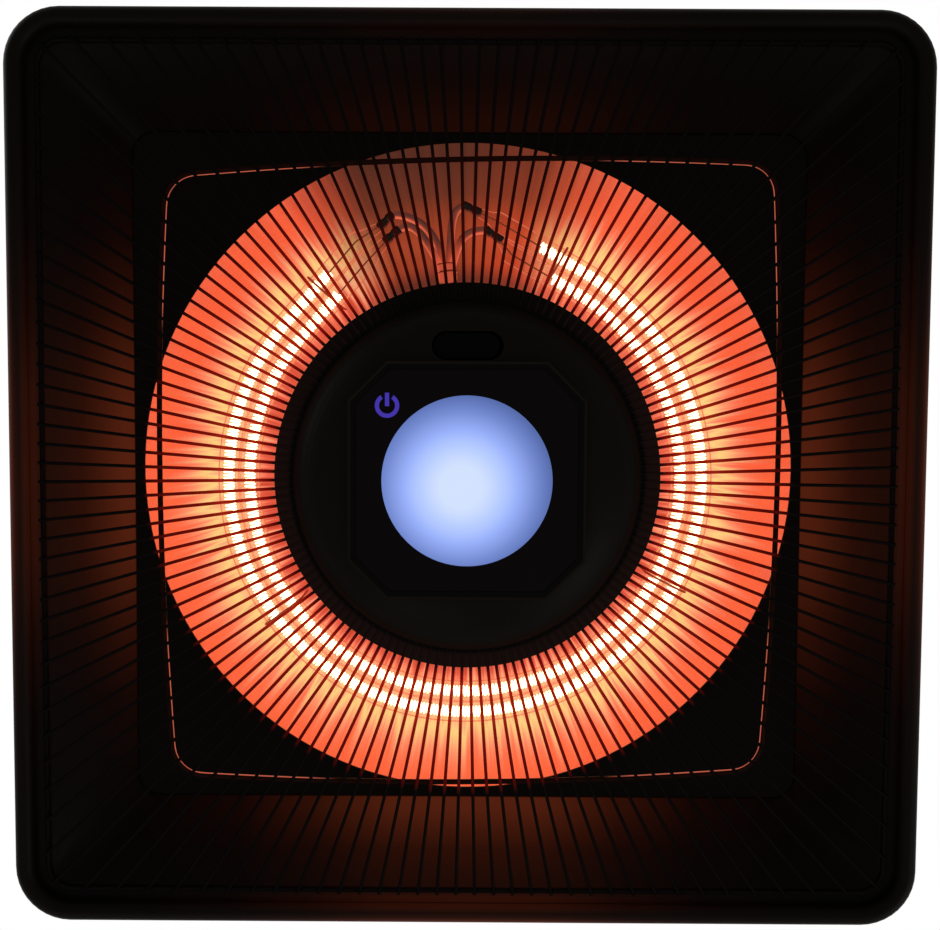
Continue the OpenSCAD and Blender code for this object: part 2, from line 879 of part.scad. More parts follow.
module baffle_brackets() {
    top = baffle_top + bracket_rise;
    slope = atan2(shade_h - sheet_t - baffle_top, shoulder_w - top_half);
    depth = bracket_t / sin(slope);
    color(zinc)
        at_rim()
            for (k = [0:3])
                rotate([0, 0, 90 * k])
                    translate([0, bracket_y + bracket_w / 2, 0])
                        rotate([90, 0, 0])
                            linear_extrude(bracket_w)
                                polygon([
                                    [shoulder_w - bracket_foot, baffle_top],
                                    [shoulder_w, baffle_top],
                                    [inside_half(top), top],
                                    [inside_half(top) - depth, top],
                                    [inside_half(baffle_top + bracket_t) - depth, baffle_top + bracket_t],
                                    [shoulder_w - bracket_foot, baffle_top + bracket_t]
                                ]);
}

// Reflector: a spun ring-shaped trough
// Its section is a parabola on each side of the crown
function trough_half(r) = r > ring_r ? opening_r - ring_r : ring_r - trough_inner_r;
function trough_h(r) = baffle_top + reflector_depth * (1 - pow((r - ring_r) / trough_half(r), 2));
function trough_point(u) =
    let (r = ring_r + u * (u > 0 ? opening_r - ring_r : ring_r - trough_inner_r))
    [r, trough_h(r)];
trough_line = concat(
    [[opening_r + reflector_flange_w, baffle_top]],
    [for (i = [arc_n:-1:-arc_n]) trough_point(i / arc_n)],
    [[trough_inner_r, hub_flange_t - hub_flange_drop]]
);

module reflector() {
    color(aluminium)
        at_rim()
            difference() {
                union() {
                    rotate_extrude($fn = 180)
                        polygon(concat(trough_line, reversed(offset_line(trough_line, reflector_t))));
                    around(4, 0, 45)
                        translate([0, 0, baffle_top])
                            difference() {
                                union() {
                                    translate([opening_r + 2, -ear_d / 2, 0])
                                        cube([ear_r - opening_r - 2, ear_d, reflector_t]);
                                    translate([ear_r, 0, 0])
                                        cylinder(d = ear_d, h = reflector_t);
                                }
                                translate([ear_r, 0, -1])
                                    cylinder(d = stud_d + 2 * fit_gap, h = reflector_t + 2);
                            }
                }
                // Hole for the lead grommet
                rotate([0, 0, bundle_angle])
                    translate([trough_inner_r - 20, 0, tube_h])
                        rotate([0, 90, 0])
                            cylinder(d = grommet_d + 2 * fit_gap, h = 40);
                // Holes for the clip wires
                for (spot = clip_spots)
                    clip_hole(spot);
            }
}

module reflector_nuts() {
    color(zinc)
        at_rim()
            translate([0, 0, baffle_top + reflector_t])
                around(4, ear_r, 45)
                    nut(nut_af, stud_d + 2 * fit_gap, nut_t);
}

// Heat shield between the reflector and the shade's top
module heat_shield() {
    color(zinc)
        at_rim()
            translate([0, 0, shield_h])
                difference() {
                    cylinder(r = shield_r, h = shield_t, $fn = 128);
                    translate([0, 0, -1])
                        cylinder(r = column_r + 2, h = shield_t + 2);
                    around(4, shield_post_r, 45)
                        translate([0, 0, -1])
                            cylinder(d = screw_d + 2 * fit_gap, h = shield_t + 2);
                }
}

module shield_posts() {
    color(zinc)
        at_rim()
            translate([0, 0, shield_h + shield_t])
                around(4, shield_post_r, 45)
                    tube(shield_post_d + 2, screw_d + 2 * fit_gap, shade_h - sheet_t - shield_h - shield_t, $fn = 32);
}

module shield_screws() {
    color(zinc)
        at_rim()
            translate([0, 0, shield_h])
                around(4, shield_post_r, 45)
                    rotate([180, 0, 0])
                        screw(shield_t + shield_screw_grip);
}

// Thermal cut-out on the reflector's back
module thermal_cutout() {
    color([0.2, 0.18, 0.16])
        at_rim()
            translate([0, ring_r, apex_h + reflector_t]) {
                translate([0, 0, 1])
                    cylinder(d = 16, h = 6);
                translate([-12, -4, 0])
                    cube([24, 8, 1.2]);
                for (x = [-1, 1])
                    translate([x * 4 - 0.4, -3, 6])
                        cube([0.8, 6, 5]);
            }
}

// Heating tube: two quartz tubes side by side, bent to a ring with straight ends
module ring_arc(r, d) {
    rotate([0, 0, right_turn])
        rotate_extrude(angle = left_turn - right_turn, $fn = 180)
            translate([r, 0])
                circle(d = d, $fn = 32);
}

// A straight piece of the right or left end, between two distances from the arc
module right_rod(r, d, from, to) {
    rotate([0, 0, right_turn])
        translate([r, -from, 0])
            rotate([90, 0, 0])
                cylinder(d = d, h = to - from, $fn = 32);
}

module left_rod(r, d, from, to) {
    rotate([0, 0, left_turn])
        translate([r, from, 0])
            rotate([-90, 0, 0])
                cylinder(d = d, h = to - from, $fn = 32);
}

// Arc and both ends in one, with a ball in each joint
module bent_rod(r, d, run_right, run_left) {
    ring_arc(r, d);
    right_rod(r, d, 0, run_right);
    left_rod(r, d, 0, run_left);
    for (a = [right_turn, left_turn])
        rotate([0, 0, a])
            translate([r, 0, 0])
                sphere(d = d + 0.03, $fn = 32);
}

// Puts something round the middle of the tubes' ring, which sits off the hub's axis
module at_ring(h) {
    translate([ring_shift_x, ring_shift_y, h])
        children();
}

module one_quartz(r, run_right, run_left) {
    difference() {
        bent_rod(r, 2 * tube_r, run_right, run_left);
        bent_rod(r, bore_d, run_right - seal_l, run_left - seal_l);
        right_rod(r, lead_d + 2 * fit_gap, run_right - seal_l - 1, run_right + 1);
        left_rod(r, lead_d + 2 * fit_gap, run_left - seal_l - 1, run_left + 1);
    }
}

module quartz_tube() {
    web_t = 1.2;
    web_h = 2.4;
    inset = 3;
    color([0.95, 0.8, 0.7, 0.5])
        at_rim()
            at_ring(tube_h) {
                one_quartz(outer_tube_r, end_outer_right, end_outer_left);
                one_quartz(inner_tube_r, end_inner_right, end_inner_left);
                // Web between the two tubes
                rotate([0, 0, right_turn + inset])
                    rotate_extrude(angle = left_turn - right_turn - 2 * inset, $fn = 180)
                        translate([ring_r - web_t / 2, -web_h / 2])
                            square([web_t, web_h]);
                rotate([0, 0, right_turn])
                    translate([ring_r - web_t / 2, inset - end_inner_right, -web_h / 2])
                        cube([web_t, end_inner_right - 2 * inset, web_h]);
                rotate([0, 0, left_turn])
                    translate([ring_r - web_t / 2, inset, -web_h / 2])
                        cube([web_t, end_inner_left - 2 * inset, web_h]);
            }
}

module filament(r, hot_right, run_right, run_left) {
    color([1, 0.6, 0.25])
        at_rim()
            at_ring(tube_h) {
                bent_rod(r, filament_d, hot_right, hot_left);
                right_rod(r, lead_d, hot_right - 1, run_right);
                left_rod(r, lead_d, hot_left - 1, run_left);
            }
}

module filament_outer() {
    filament(outer_tube_r, hot_outer_right, end_outer_right + 2, end_outer_left + 2);
}

module filament_inner() {
    filament(inner_tube_r, hot_inner_right, end_inner_right + 2, end_inner_left + 2);
}

// Something at a tube's end, with +X pointing on along the tube and +Y to the hub's side
module at_right_end(r, run) {
    at_ring(tube_h)
        rotate([0, 0, right_turn])
            translate([r, -run, 0])
                rotate([0, 0, -90])
                    children();
}

module at_left_end(r, run) {
    at_ring(tube_h)
        rotate([0, 0, left_turn])
            translate([r, run, 0])
                rotate([0, 0, 90])
                    children();
}

module end_cap() {
    rotate([0, 90, 0])
        difference() {
            cylinder(d = end_cap_d, h = end_cap_l, $fn = 48);
            translate([0, 0, -1])
                cylinder(d = lead_d + 2 * fit_gap, h = 4, $fn = 24);
        }
}

module tube_caps() {
    color([0.4, 0.4, 0.42])
        at_rim() {
            at_right_end(outer_tube_r, end_outer_right) end_cap();
            at_right_end(inner_tube_r, end_inner_right) end_cap();
            at_left_end(outer_tube_r, end_outer_left) end_cap();
            at_left_end(inner_tube_r, end_inner_left) end_cap();
        }
}

// Clips: bent wires that hold the tubes up against the reflector's crown
clip_bend_r = quartz_r + seat_gap + clip_wire_d / 2;
clip_leg_x = quartz_r + clip_bend_r;
clip_foot = 3.5;
// Turn and distance along the straight for each clip
clip_spots = concat(
    [for (a = clip_arc_angles) [a, 0]],
    [[right_turn, -clip_right_run], [left_turn, clip_left_run]]
);
function clip_rise(x, spot) =
    trough_h(norm(ring_shift + turn2([ring_r + x, spot[1]], spot[0]))) + reflector_t + 4 - tube_h;

module clip_hole(spot) {
    for (x = [-clip_leg_x, clip_leg_x])
        at_ring(tube_h)
            rotate([0, 0, spot[0]])
                translate([ring_r + x, spot[1], 0])
                    cylinder(d = clip_wire_d + 4 * fit_gap, h = 60, $fn = 24);
}

module one_clip(spot) {
    translate([-quartz_r, 0, -clip_bend_r])
        rotate([0, 90, 0])
            cylinder(d = clip_wire_d, h = quartz_d, $fn = 24);
    for (m = [0, 1]) {
        rise = clip_rise(m == 0 ? clip_leg_x : -clip_leg_x, spot);
        mirror([m, 0, 0]) {
            translate([quartz_r, 0, 0])
                rotate([90, 0, 0])
                    rotate([0, 0, -90])
                        arc_rod(clip_bend_r, clip_wire_d, 90);
            translate([clip_leg_x, 0, 0])
                cylinder(d = clip_wire_d, h = rise, $fn = 24);
            translate([clip_leg_x, 0, rise])
                rotate([90, 0, 0])
                    cylinder(d = clip_wire_d, h = clip_foot, $fn = 24);
            translate([clip_leg_x, 0, rise])
                sphere(d = clip_wire_d + 0.02, $fn = 24);
        }
    }
}

module tube_clips() {
    color(zinc)
        at_rim()
            at_ring(tube_h)
                for (spot = clip_spots)
                    rotate([0, 0, spot[0]])
                        translate([ring_r, spot[1], 0])
                            one_clip(spot);
}

// Leads: each sleeve bends in one arc from its tube's end to the bundle, then runs straight in
function turn2(v, a) = [v[0] * cos(a) - v[1] * sin(a), v[0] * sin(a) + v[1] * cos(a)];

// Places a sleeve from point p with heading a, turning by `turn` onto a line that is `off` away
module sleeve(p, heading, turn, off, z) {
    r = abs(off) / (1 - cos(turn));
    way = off > 0 ? 1 : -1;
    inward = turn2([1, 0], bundle_angle + 180);
    centre = p + r * turn2([0, way], heading);
    finish = centre + r * turn2([0, -way], bundle_angle + 180);
    run = finish * turn2([1, 0], bundle_angle) - grommet_in_r;
    translate([p[0], p[1], tube_h + z])
        rotate([0, 0, heading])
            translate([0, way * r, 0])
                rotate([0, 0, way > 0 ? -90 : 90 - turn])
                    arc_rod(r, sleeve_d, turn);
    translate([finish[0], finish[1], tube_h + z])
        rotate([0, 0, bundle_angle + 180])
            rotate([0, 90, 0])
                cylinder(d = sleeve_d, h = run, $fn = 32);
    translate([finish[0], finish[1], tube_h + z])
        sphere(d = sleeve_d + 0.03, $fn = 32);
}

// One lead on the right (way 1) or the left (way -1) of the bundle
module lead(r, run, way, z) {
    turn_at = way > 0 ? right_turn : left_turn;
    heading = turn_at - way * 90;
    p = ring_shift + turn2([r, -way * (run + end_cap_l)], turn_at);
    turn = way > 0 ? heading + 180 - bundle_angle : bundle_angle + 540 - heading;
    across = turn2([0, 1], bundle_angle);
    line = way * bundle_pitch / 2;
    sleeve(p, heading, turn, -way * abs(p * across - line), z);
}

module lead_sleeves() {
    color([0.9, 0.72, 0.66])
        at_rim() {
            lead(outer_tube_r, end_outer_right, 1, bundle_pitch / 2);
            lead(inner_tube_r, end_inner_right, 1, -bundle_pitch / 2);
            lead(outer_tube_r, end_outer_left, -1, bundle_pitch / 2);
            lead(inner_tube_r, end_inner_left, -1, -bundle_pitch / 2);
        }
}

module lead_grommet() {
    color([0.93, 0.88, 0.8])
        at_rim()
            rotate([0, 0, bundle_angle])
                translate([grommet_in_r, 0, tube_h])
                    rotate([0, 90, 0])
                        difference() {
                            union() {
                                cylinder(d = grommet_d, h = grommet_out_r - grommet_in_r);
                                for (r = [wall_r_at_tube + 3, grommet_out_r - grommet_band_t])
                                    translate([0, 0, r - grommet_in_r])
                                        cylinder(d = grommet_d + 1, h = grommet_band_t);
                            }
                            translate([0, 0, -1])
                                cylinder(d = grommet_bore_d, h = grommet_out_r);
                        }
}

// Hub column, from the chassis plate down to the hub pan
module hub_column() {
    bottom = hub_pan_h;
    color(zinc)
        at_rim()
            difference() {
                union() {
                    translate([0, 0, bottom])
                        cylinder(r = column_r, h = shade_h - bottom);
                    translate([0, 0, bottom])
                        cylinder(r = column_flange_r, h = column_flange_t);
                    translate([0, 0, shade_h - column_flange_t])
                        cylinder(r = column_flange_r, h = column_flange_t);
                }
                translate([0, 0, bottom - 1])
                    cylinder(r = column_r - column_wall, h = shade_h);
                around(4, column_screw_r, 45)
                    translate([0, 0, bottom - 1])
                        cylinder(d = screw_d + 2 * fit_gap, h = shade_h);
            }
}

module column_screws() {
    color(zinc)
        at_rim()
            around(4, column_screw_r, 45) {
                translate([0, 0, shade_h + chassis_t])
                    screw(chassis_t + column_flange_t + nut_t + 1.5);
                translate([0, 0, shade_h - column_flange_t])
                    nut_below();
                translate([0, 0, hub_pan_h + column_flange_t])
                    screw(column_flange_t + pan_top_t + nut_t + 1.5);
                translate([0, 0, hub_pan_h - pan_top_t])
                    nut_below();
            }
}

// Hub pan: holds the boards, its flange covers the reflector's inner edge
board_h = 10;
board_t = 1.6;
board_peg_d = 5;
board_size = [54, 74];
board_peg_xy = [22, 33];

module hub_pan() {
    color(black)
        at_rim()
            difference() {
                union() {
                    difference() {
                        union() {
                            translate([0, 0, -hub_flange_drop])
                                cylinder(r = pan_r, h = hub_pan_h + hub_flange_drop, $fn = 128);
                            translate([0, 0, -hub_flange_drop])
                                cylinder(r = flange_r, h = hub_flange_t, $fn = 128);
                        }
                        translate([0, 0, -hub_flange_drop - 1])
                            cylinder(r = pan_r - pan_wall, h = hub_pan_h + hub_flange_drop - pan_top_t + 1, $fn = 128);
                    }
                    // Inward lip over the guard's wires
                    translate([0, 0, -hub_flange_drop])
                        tube(2 * pan_r, 2 * (guard_tip_r + 1), hub_flange_t / 2, $fn = 128);
                    around(4, post_r)
                        translate([0, 0, post_split_h])
                            cylinder(d = post_d, h = hub_pan_h - post_split_h - 1);
                    for (x = [-1, 1], y = [-1, 1])
                        translate([x * board_peg_xy[0], y * board_peg_xy[1], board_h + board_t])
                            cylinder(d = board_peg_d, h = hub_pan_h - board_h - board_t - 1, $fn = 32);
                }
                translate([0, 0, hub_pan_h - pan_top_t - 1])
                    cylinder(r = column_r - 14, h = pan_top_t + 2);
                around(4, column_screw_r, 45)
                    translate([0, 0, hub_pan_h - pan_top_t - 1])
                        cylinder(d = screw_d + 2 * fit_gap, h = pan_top_t + 2);
                around(4, post_r)
                    translate([0, 0, post_split_h - 1])
                        cylinder(d = screw_d + 2 * fit_gap, h = 14);
            }
}

// Parts on the control board
capacitor_d = 8;
capacitor_h = 9;
capacitor_xy = [[-14, 8], [-14, 20]];
choke_size = [16, 14, 8];
choke_xy = [2, 8];
connector_size = [14, 6, 6];
connector_xy = [[-20, -35], [6, -35]];
part_seat = 0.5;      // how far each part reaches into the board
relay_size = [20, 15, 15];
relay_xy = [-10, -26];

module control_board() {
    color([0.1, 0.35, 0.18])
        at_rim()
            translate([0, 0, board_h]) {
                translate([-board_size[0] / 2, -board_size[1] / 2, 0])
                    cube([board_size[0], board_size[1], board_t]);
                // Parts on the lower side: capacitors, a choke and connectors
                for (at = capacitor_xy)
                    translate([at[0], at[1], -capacitor_h])
                        cylinder(d = capacitor_d, h = capacitor_h + part_seat, $fn = 32);
                translate([choke_xy[0], choke_xy[1], -choke_size[2]])
                    cube([choke_size[0], choke_size[1], choke_size[2] + part_seat]);
                for (at = connector_xy)
                    translate([at[0], at[1], -connector_size[2]])
                        cube([connector_size[0], connector_size[1], connector_size[2] + part_seat]);
            }
}

module relay() {
    color([0.1, 0.2, 0.45])
        at_rim()
            translate([relay_xy[0], relay_xy[1], board_h - relay_size[2]])
                cube(relay_size);
}

// Hub cover: the domed lower shell
function dome_point(t, wall) = [
    dome_flat_r + (cover_r - dome_flat_r - wall) * cos(t),
    cover_rim_h - (dome_depth - wall) * sin(t)
];
dome_n = 16;

module dome_solid(wall) {
    rotate_extrude($fn = 128)
        polygon(concat(
            [[0, cover_rim_h + (wall > 0 ? 1 : 0)], [cover_r - wall, cover_rim_h + (wall > 0 ? 1 : 0)]],
            [for (i = [0:dome_n]) dome_point(90 * i / dome_n, wall)],
            [[0, cover_rim_h - dome_depth + wall]]
        ));
}

module hub_cover() {
    inner_half = panel_half - cover_wall;
    cut = panel_chamfer - cover_wall * inset_gain;
    color(dark)
        at_rim()
            difference() {
                union() {
                    difference() {
                        union() {
                            dome_solid(0);
                            translate([0, 0, face_h])
                                linear_extrude(hub_face_drop + cover_rim_h)
                                    cut_square(panel_half, panel_chamfer);
                        }
                        dome_solid(cover_wall);
                        translate([0, 0, floor_h])
                            linear_extrude(hub_face_drop)
                                cut_square(inner_half, cut);
                    }
                    // Screw towers
                    around(4, post_r)
                        translate([0, 0, face_h + 1])
                            cylinder(d = post_d, h = post_split_h - face_h - 1);
                    // Well around the main switch, cut to the dome's outer face below
                    intersection() {
                        translate([0, slot_y, face_h])
                            linear_extrude(well_top_h - face_h)
                                stadium(slot_l + 2 * well_wall, slot_w + 2 * well_wall);
                        union() {
                            dome_solid(0);
                            translate([0, 0, face_h])
                                linear_extrude(hub_face_drop + cover_rim_h)
                                    cut_square(panel_half, panel_chamfer);
                        }
                    }
                }
                translate([0, slot_y, face_h - 1])
                    linear_extrude(hub_face_drop)
                        stadium(slot_l, slot_w);
                // Lamp opening, screw holes and heads, and the window under the touch key
                translate([0, 0, face_h - 1])
                    cylinder(r = lamp_hole_r, h = cover_wall + 2);
                around(4, post_r) {
                    translate([0, 0, face_h - 1])
                        cylinder(d = screw_d + 4 * fit_gap, h = hub_face_drop);
                    translate([0, 0, face_h - 1])
                        cylinder(d = screw_head_d + 4 * fit_gap, h = 1 + screw_head_h + 0.4);
                }
                translate([symbol_xy[0], symbol_xy[1], face_h - 1])
                    cylinder(d = symbol_d, h = cover_wall + 2);
            }
}

module hub_screws() {
    head_h = face_h + screw_head_h + 0.4;
    color(zinc)
        at_rim()
            translate([0, 0, head_h])
                around(4, post_r)
                    rotate([180, 0, 0])
                        screw(post_split_h - head_h + 12);
}

module panel_frame() {
    cut = panel_chamfer - panel_border * inset_gain;
    color(black)
        at_rim()
            translate([0, 0, face_h - panel_border_h])
                linear_extrude(panel_border_h)
                    difference() {
                        cut_square(panel_half, panel_chamfer);
                        cut_square(glass_half, cut);
                    }
}

glass_t = 1;

module symbol_shape(grow) {
    r = symbol_d / 2;
    gap_angle = 32;
    difference() {
        circle(r = r + grow);
        circle(r = r - symbol_stroke - grow);
        translate([0, -r])
            polygon([
                [0, r],
                [-tan(gap_angle) * 2 * r + grow, -r],
                [tan(gap_angle) * 2 * r - grow, -r]
            ]);
    }
    translate([-symbol_stroke / 2 - grow, -r - 0.3 - grow])
        square([symbol_stroke + 2 * grow, r * 1.1 + 2 * grow]);
}

module panel_glass() {
    half = glass_half - fit_gap;
    cut = panel_chamfer - (panel_border + fit_gap) * inset_gain;
    color([0.03, 0.03, 0.035])
        at_rim()
            translate([0, 0, face_h - glass_t])
                linear_extrude(glass_t)
                    difference() {
                        cut_square(half, cut);
                        circle(r = lens_r + fit_gap, $fn = 96);
                        translate(symbol_xy)
                            symbol_shape(weld_gap);
                    }
}

module power_symbol() {
    color([0.5, 0.4, 1])
        at_rim()
            translate([symbol_xy[0], symbol_xy[1], face_h - glass_t - 0.1])
                linear_extrude(glass_t + 0.1)
                    symbol_shape(0);
}

module touch_board() {
    color([0.1, 0.35, 0.18])
        at_rim()
            translate([symbol_xy[0], symbol_xy[1], floor_h]) {
                cylinder(d = touch_board_d, h = 1.2);
                translate([-1.5, -1.5, -0.8])
                    cube([3, 3, 0.8]);
            }
}

// Lamp
lens_rise = 3.5;

module lamp_lens() {
    dome_r = (lens_r * lens_r + lens_rise * lens_rise) / (2 * lens_rise);
    edge = 1;
    n = 12;
    sweep = asin(lens_r / dome_r);
    color([0.8, 0.88, 1])
        at_rim()
            translate([0, 0, face_h])
                rotate_extrude($fn = 128)
                    polygon(concat(
                        [[0, -edge - lens_rise + 2], [lens_r - 6, -1], [lamp_hole_r - 0.5, 0], [lens_r, 0]],
                        [
                            for (i = [0:n - 1])
                                let (a = sweep * (1 - i / n))
                                [dome_r * sin(a), -edge + (dome_r - lens_rise) - dome_r * cos(a)]
                        ],
                        [[0, -edge - lens_rise]]
                    ));
}

lamp_board_r = lamp_hole_r + 2.4;

module lamp_board() {
    color([0.92, 0.92, 0.9])
        at_rim()
            translate([0, 0, floor_h])
                cylinder(r = lamp_board_r, h = board_t, $fn = 96);
}

chip_w = 2.8;
chip_t = 0.8;
chip_pitch = 10;      // between the rings of chips

module lamp_chips() {
    color([1, 0.95, 0.6])
        at_rim()
            translate([0, 0, floor_h - chip_t])
                for (k = [1:3])
                    around(6 * k, k * chip_pitch)
                        translate([-chip_w / 2, -chip_w / 2, 0])
                            cube([chip_w, chip_w, chip_t]);
}

// Main switch: rocks about an axis along Y, shown in its ON position
module rocker_housing() {
    color(dark)
        at_rim()
            translate([0, slot_y, well_top_h])
                difference() {
                    translate([-housing_l / 2, -housing_w / 2, 0])
                        cube([housing_l, housing_w, housing_depth]);
                    translate([-slot_l / 2, -slot_w / 2, -1])
                        cube([slot_l, slot_w, housing_depth - 1]);
                    translate([0, -housing_w, rocker_pivot_h - well_top_h])
                        rotate([-90, 0, 0])
                            cylinder(d = rocker_pin_d + 2 * fit_gap, h = 2 * housing_w, $fn = 32);
                }
}

module rocker_terminals() {
    color([0.8, 0.7, 0.4])
        at_rim()
            for (x = [-9, 0, 9])
                translate([x - 2.4, slot_y - 0.4, well_top_h + housing_depth])
                    cube([4.8, 0.8, 6]);
}

module rocker_paddle() {
    face = 3;
    back = 4;
    rise = tan(rocker_tilt) * slot_l / 2;
    color(black)
        at_rim()
            translate([0, slot_y, rocker_pivot_h])
                rotate([0, rocker_tilt, 0]) {
                    intersection() {
                        translate([0, slot_w / 2, 0])
                            rotate([90, 0, 0])
                                linear_extrude(slot_w)
                                    polygon([
                                        [-slot_l / 2, -face - rise], [0, -face], [slot_l / 2, -face - rise],
                                        [slot_l / 2, 0], [5, back], [-5, back], [-slot_l / 2, 0]
                                    ]);
                        translate([0, 0, -10])
                            linear_extrude(20)
                                stadium(paddle_l, paddle_w);
                    }
                    translate([0, -(slot_w + 2) / 2, 0])
                        rotate([-90, 0, 0])
                            cylinder(d = rocker_pin_d, h = slot_w + 2, $fn = 32);
                }
}

// Guard: radial wires under three rings
function guard_slope(reach) = (guard_end_h - guard_edge_h) / (reach - flange_r);

module guard_wires() {
    color(wire_black)
        at_rim()
            for (i = [0:guard_wire_n - 1]) {
                a = 360 * (i + 0.5) / guard_wire_n;
                reach = square_reach(a, outer_ring_half, outer_ring_corner);
                slope = guard_slope(reach);
                start_h = guard_edge_h - slope * (flange_r - guard_tip_r);
                length = (reach + guard_overhang - guard_tip_r) * sqrt(1 + slope * slope);
                rotate([0, 0, a])
                    translate([guard_tip_r, 0, start_h])
                        rotate([0, 90 - atan(slope), 0])
                            cylinder(d = guard_wire_d, h = length, $fn = 24);
            }
}

module guard_outer_ring() {
    color(wire_black)
        at_rim()
            translate([0, 0, outer_ring_h])
                square_ring(outer_ring_half, outer_ring_corner, guard_ring_d);
}

// The support ring's sides are long arcs that meet its corners smoothly
support_meet = 45 - asin((support_side_r - support_half) / ((support_side_r - support_corner_r) * sqrt(2)));
support_corner_xy = (support_side_r - support_corner_r) * sin(support_meet);
support_corner_reach = support_corner_xy * sqrt(2) + support_corner_r;
// Wires rise outwards, and the ring clears the highest of them, at the corners
corner_reach = square_reach(45, outer_ring_half, outer_ring_corner);
support_wire_h = guard_edge_h + guard_slope(corner_reach) * (support_corner_reach - flange_r);
support_h = support_wire_h + (guard_wire_d + guard_ring_d) / 2 + weld_gap + 0.05;

module guard_support_ring() {
    color(wire_black)
        at_rim()
            translate([0, 0, support_h])
                for (k = [0:3])
                    rotate([0, 0, 90 * k]) {
                        translate([support_half - support_side_r, 0, 0])
                            rotate([0, 0, -support_meet]) {
                                rotate_extrude(angle = 2 * support_meet, $fn = 1080)
                                    translate([support_side_r, 0])
                                        circle(d = guard_ring_d, $fn = 32);
                                translate([support_side_r, 0, 0])
                                    sphere(d = guard_ring_d + 0.03, $fn = 32);
                            }
                        translate([support_half - support_side_r, 0, 0])
                            rotate([0, 0, support_meet])
                                translate([support_side_r, 0, 0])
                                    sphere(d = guard_ring_d + 0.03, $fn = 32);
                        translate([support_corner_xy, support_corner_xy, 0])
                            rotate([0, 0, support_meet])
                                arc_rod(support_corner_r, guard_ring_d, 90 - 2 * support_meet);
                    }
}

// The hub ring lies under the wires, inside the cover's rim
side_slope = guard_slope(outer_ring_half);
hub_ring_r = guard_tip_r + 1.5;
hub_ring_h = guard_edge_h - side_slope * (flange_r - hub_ring_r + guard_ring_d / 2)
    - (guard_wire_d + guard_ring_d) / 2 - weld_gap;

module guard_hub_ring() {
    color(wire_black)
        at_rim()
            translate([0, 0, hub_ring_h])
                arc_rod(hub_ring_r, guard_ring_d, 360);
}

ceiling_plate();
ceiling_eye();
eye_locknut();
snap_link();
gate_pin();
gate_spring();
snap_gate();
heater_eye();
eye_washer();
eye_nut();
top_cap();
cap_gasket();
cap_screws();
gland_body();
gland_nut();
gland_locknut();
gland_seal();
chassis_plate();
chassis_screws();
terminal_block();
lamp_driver();
shade();
baffle_plate();
baffle_brackets();
reflector();
reflector_nuts();
heat_shield();
shield_posts();
shield_screws();
thermal_cutout();
quartz_tube();
filament_outer();
filament_inner();
tube_caps();
tube_clips();
lead_sleeves();
lead_grommet();
hub_column();
column_screws();
hub_pan();
control_board();
relay();
hub_cover();
hub_screws();
panel_frame();
panel_glass();
power_symbol();
touch_board();
lamp_lens();
lamp_board();
lamp_chips();
rocker_housing();
rocker_terminals();
rocker_paddle();
guard_wires();
guard_outer_ring();
guard_support_ring();
guard_hub_ring();
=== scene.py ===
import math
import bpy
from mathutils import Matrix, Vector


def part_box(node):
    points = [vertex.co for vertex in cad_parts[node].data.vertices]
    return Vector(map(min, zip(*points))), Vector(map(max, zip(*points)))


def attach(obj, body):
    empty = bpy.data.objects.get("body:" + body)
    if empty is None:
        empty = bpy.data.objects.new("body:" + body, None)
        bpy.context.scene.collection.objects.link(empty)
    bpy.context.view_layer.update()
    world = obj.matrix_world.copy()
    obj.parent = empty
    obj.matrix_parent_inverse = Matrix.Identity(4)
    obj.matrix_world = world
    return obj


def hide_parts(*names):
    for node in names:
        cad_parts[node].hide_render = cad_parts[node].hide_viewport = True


bl_info = {
    "name": "Hanging patio heater",
    "version": (1, 0, 0),
    "blender": (4, 5, 0),
    "location": "View3D > Sidebar > Patio Heater",
    "description": "Models and finishes a square electric patio heater that hangs from the ceiling",
    "category": "Add Mesh",
}

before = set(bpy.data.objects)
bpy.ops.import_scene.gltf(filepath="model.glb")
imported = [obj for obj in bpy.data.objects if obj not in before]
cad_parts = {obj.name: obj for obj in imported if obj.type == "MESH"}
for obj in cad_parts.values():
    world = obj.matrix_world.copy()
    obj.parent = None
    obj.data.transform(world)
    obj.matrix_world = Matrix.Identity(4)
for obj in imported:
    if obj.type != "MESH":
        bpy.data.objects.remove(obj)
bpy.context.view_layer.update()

import bmesh
import bpy
from bpy.props import FloatProperty, FloatVectorProperty, IntProperty, PointerProperty
from mathutils import Matrix, Vector

MM = 0.001


# Sizes taken from the frame
def low(node, axis):
    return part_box(node)[0][axis]


def high(node, axis):
    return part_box(node)[1][axis]


SHADE_H = 118 * MM
RIM = high("shade", 2) - SHADE_H  # the plane of the shade's rolled edge; heights are measured from it
BAFFLE_SHEET = 1.2 * MM
BAFFLE_TOP = low("baffle_plate", 2) - RIM + BAFFLE_SHEET
SEAT_HALF = high("baffle_plate", 0)
TUBE_H = (low("quartz_tube", 2) + high("quartz_tube", 2)) / 2 - RIM
RING_SHIFT = Vector((-1.5, 5.9, 0)) * MM  # the tubes' ring sits off the hub's axis
PANEL_HALF = high("panel_frame", 0)
RIM_HALF = 212.5 * MM
SKIRT_INSIDE = 160 * MM  # where the skirt's inside begins beside the baffle plate, from the middle

TROUGH_FOOT = 80 * MM  # from this radius, and over the same again, colours run across the reflector
NEAR = 0.02 * MM  # how far off a vertex may lie and still be found
BLACK = (0.0, 0.0, 0.0)


def at(x, y, h):
    """A point in the object's frame, with its height measured from the rim."""
    return Vector((x, y, RIM + h))


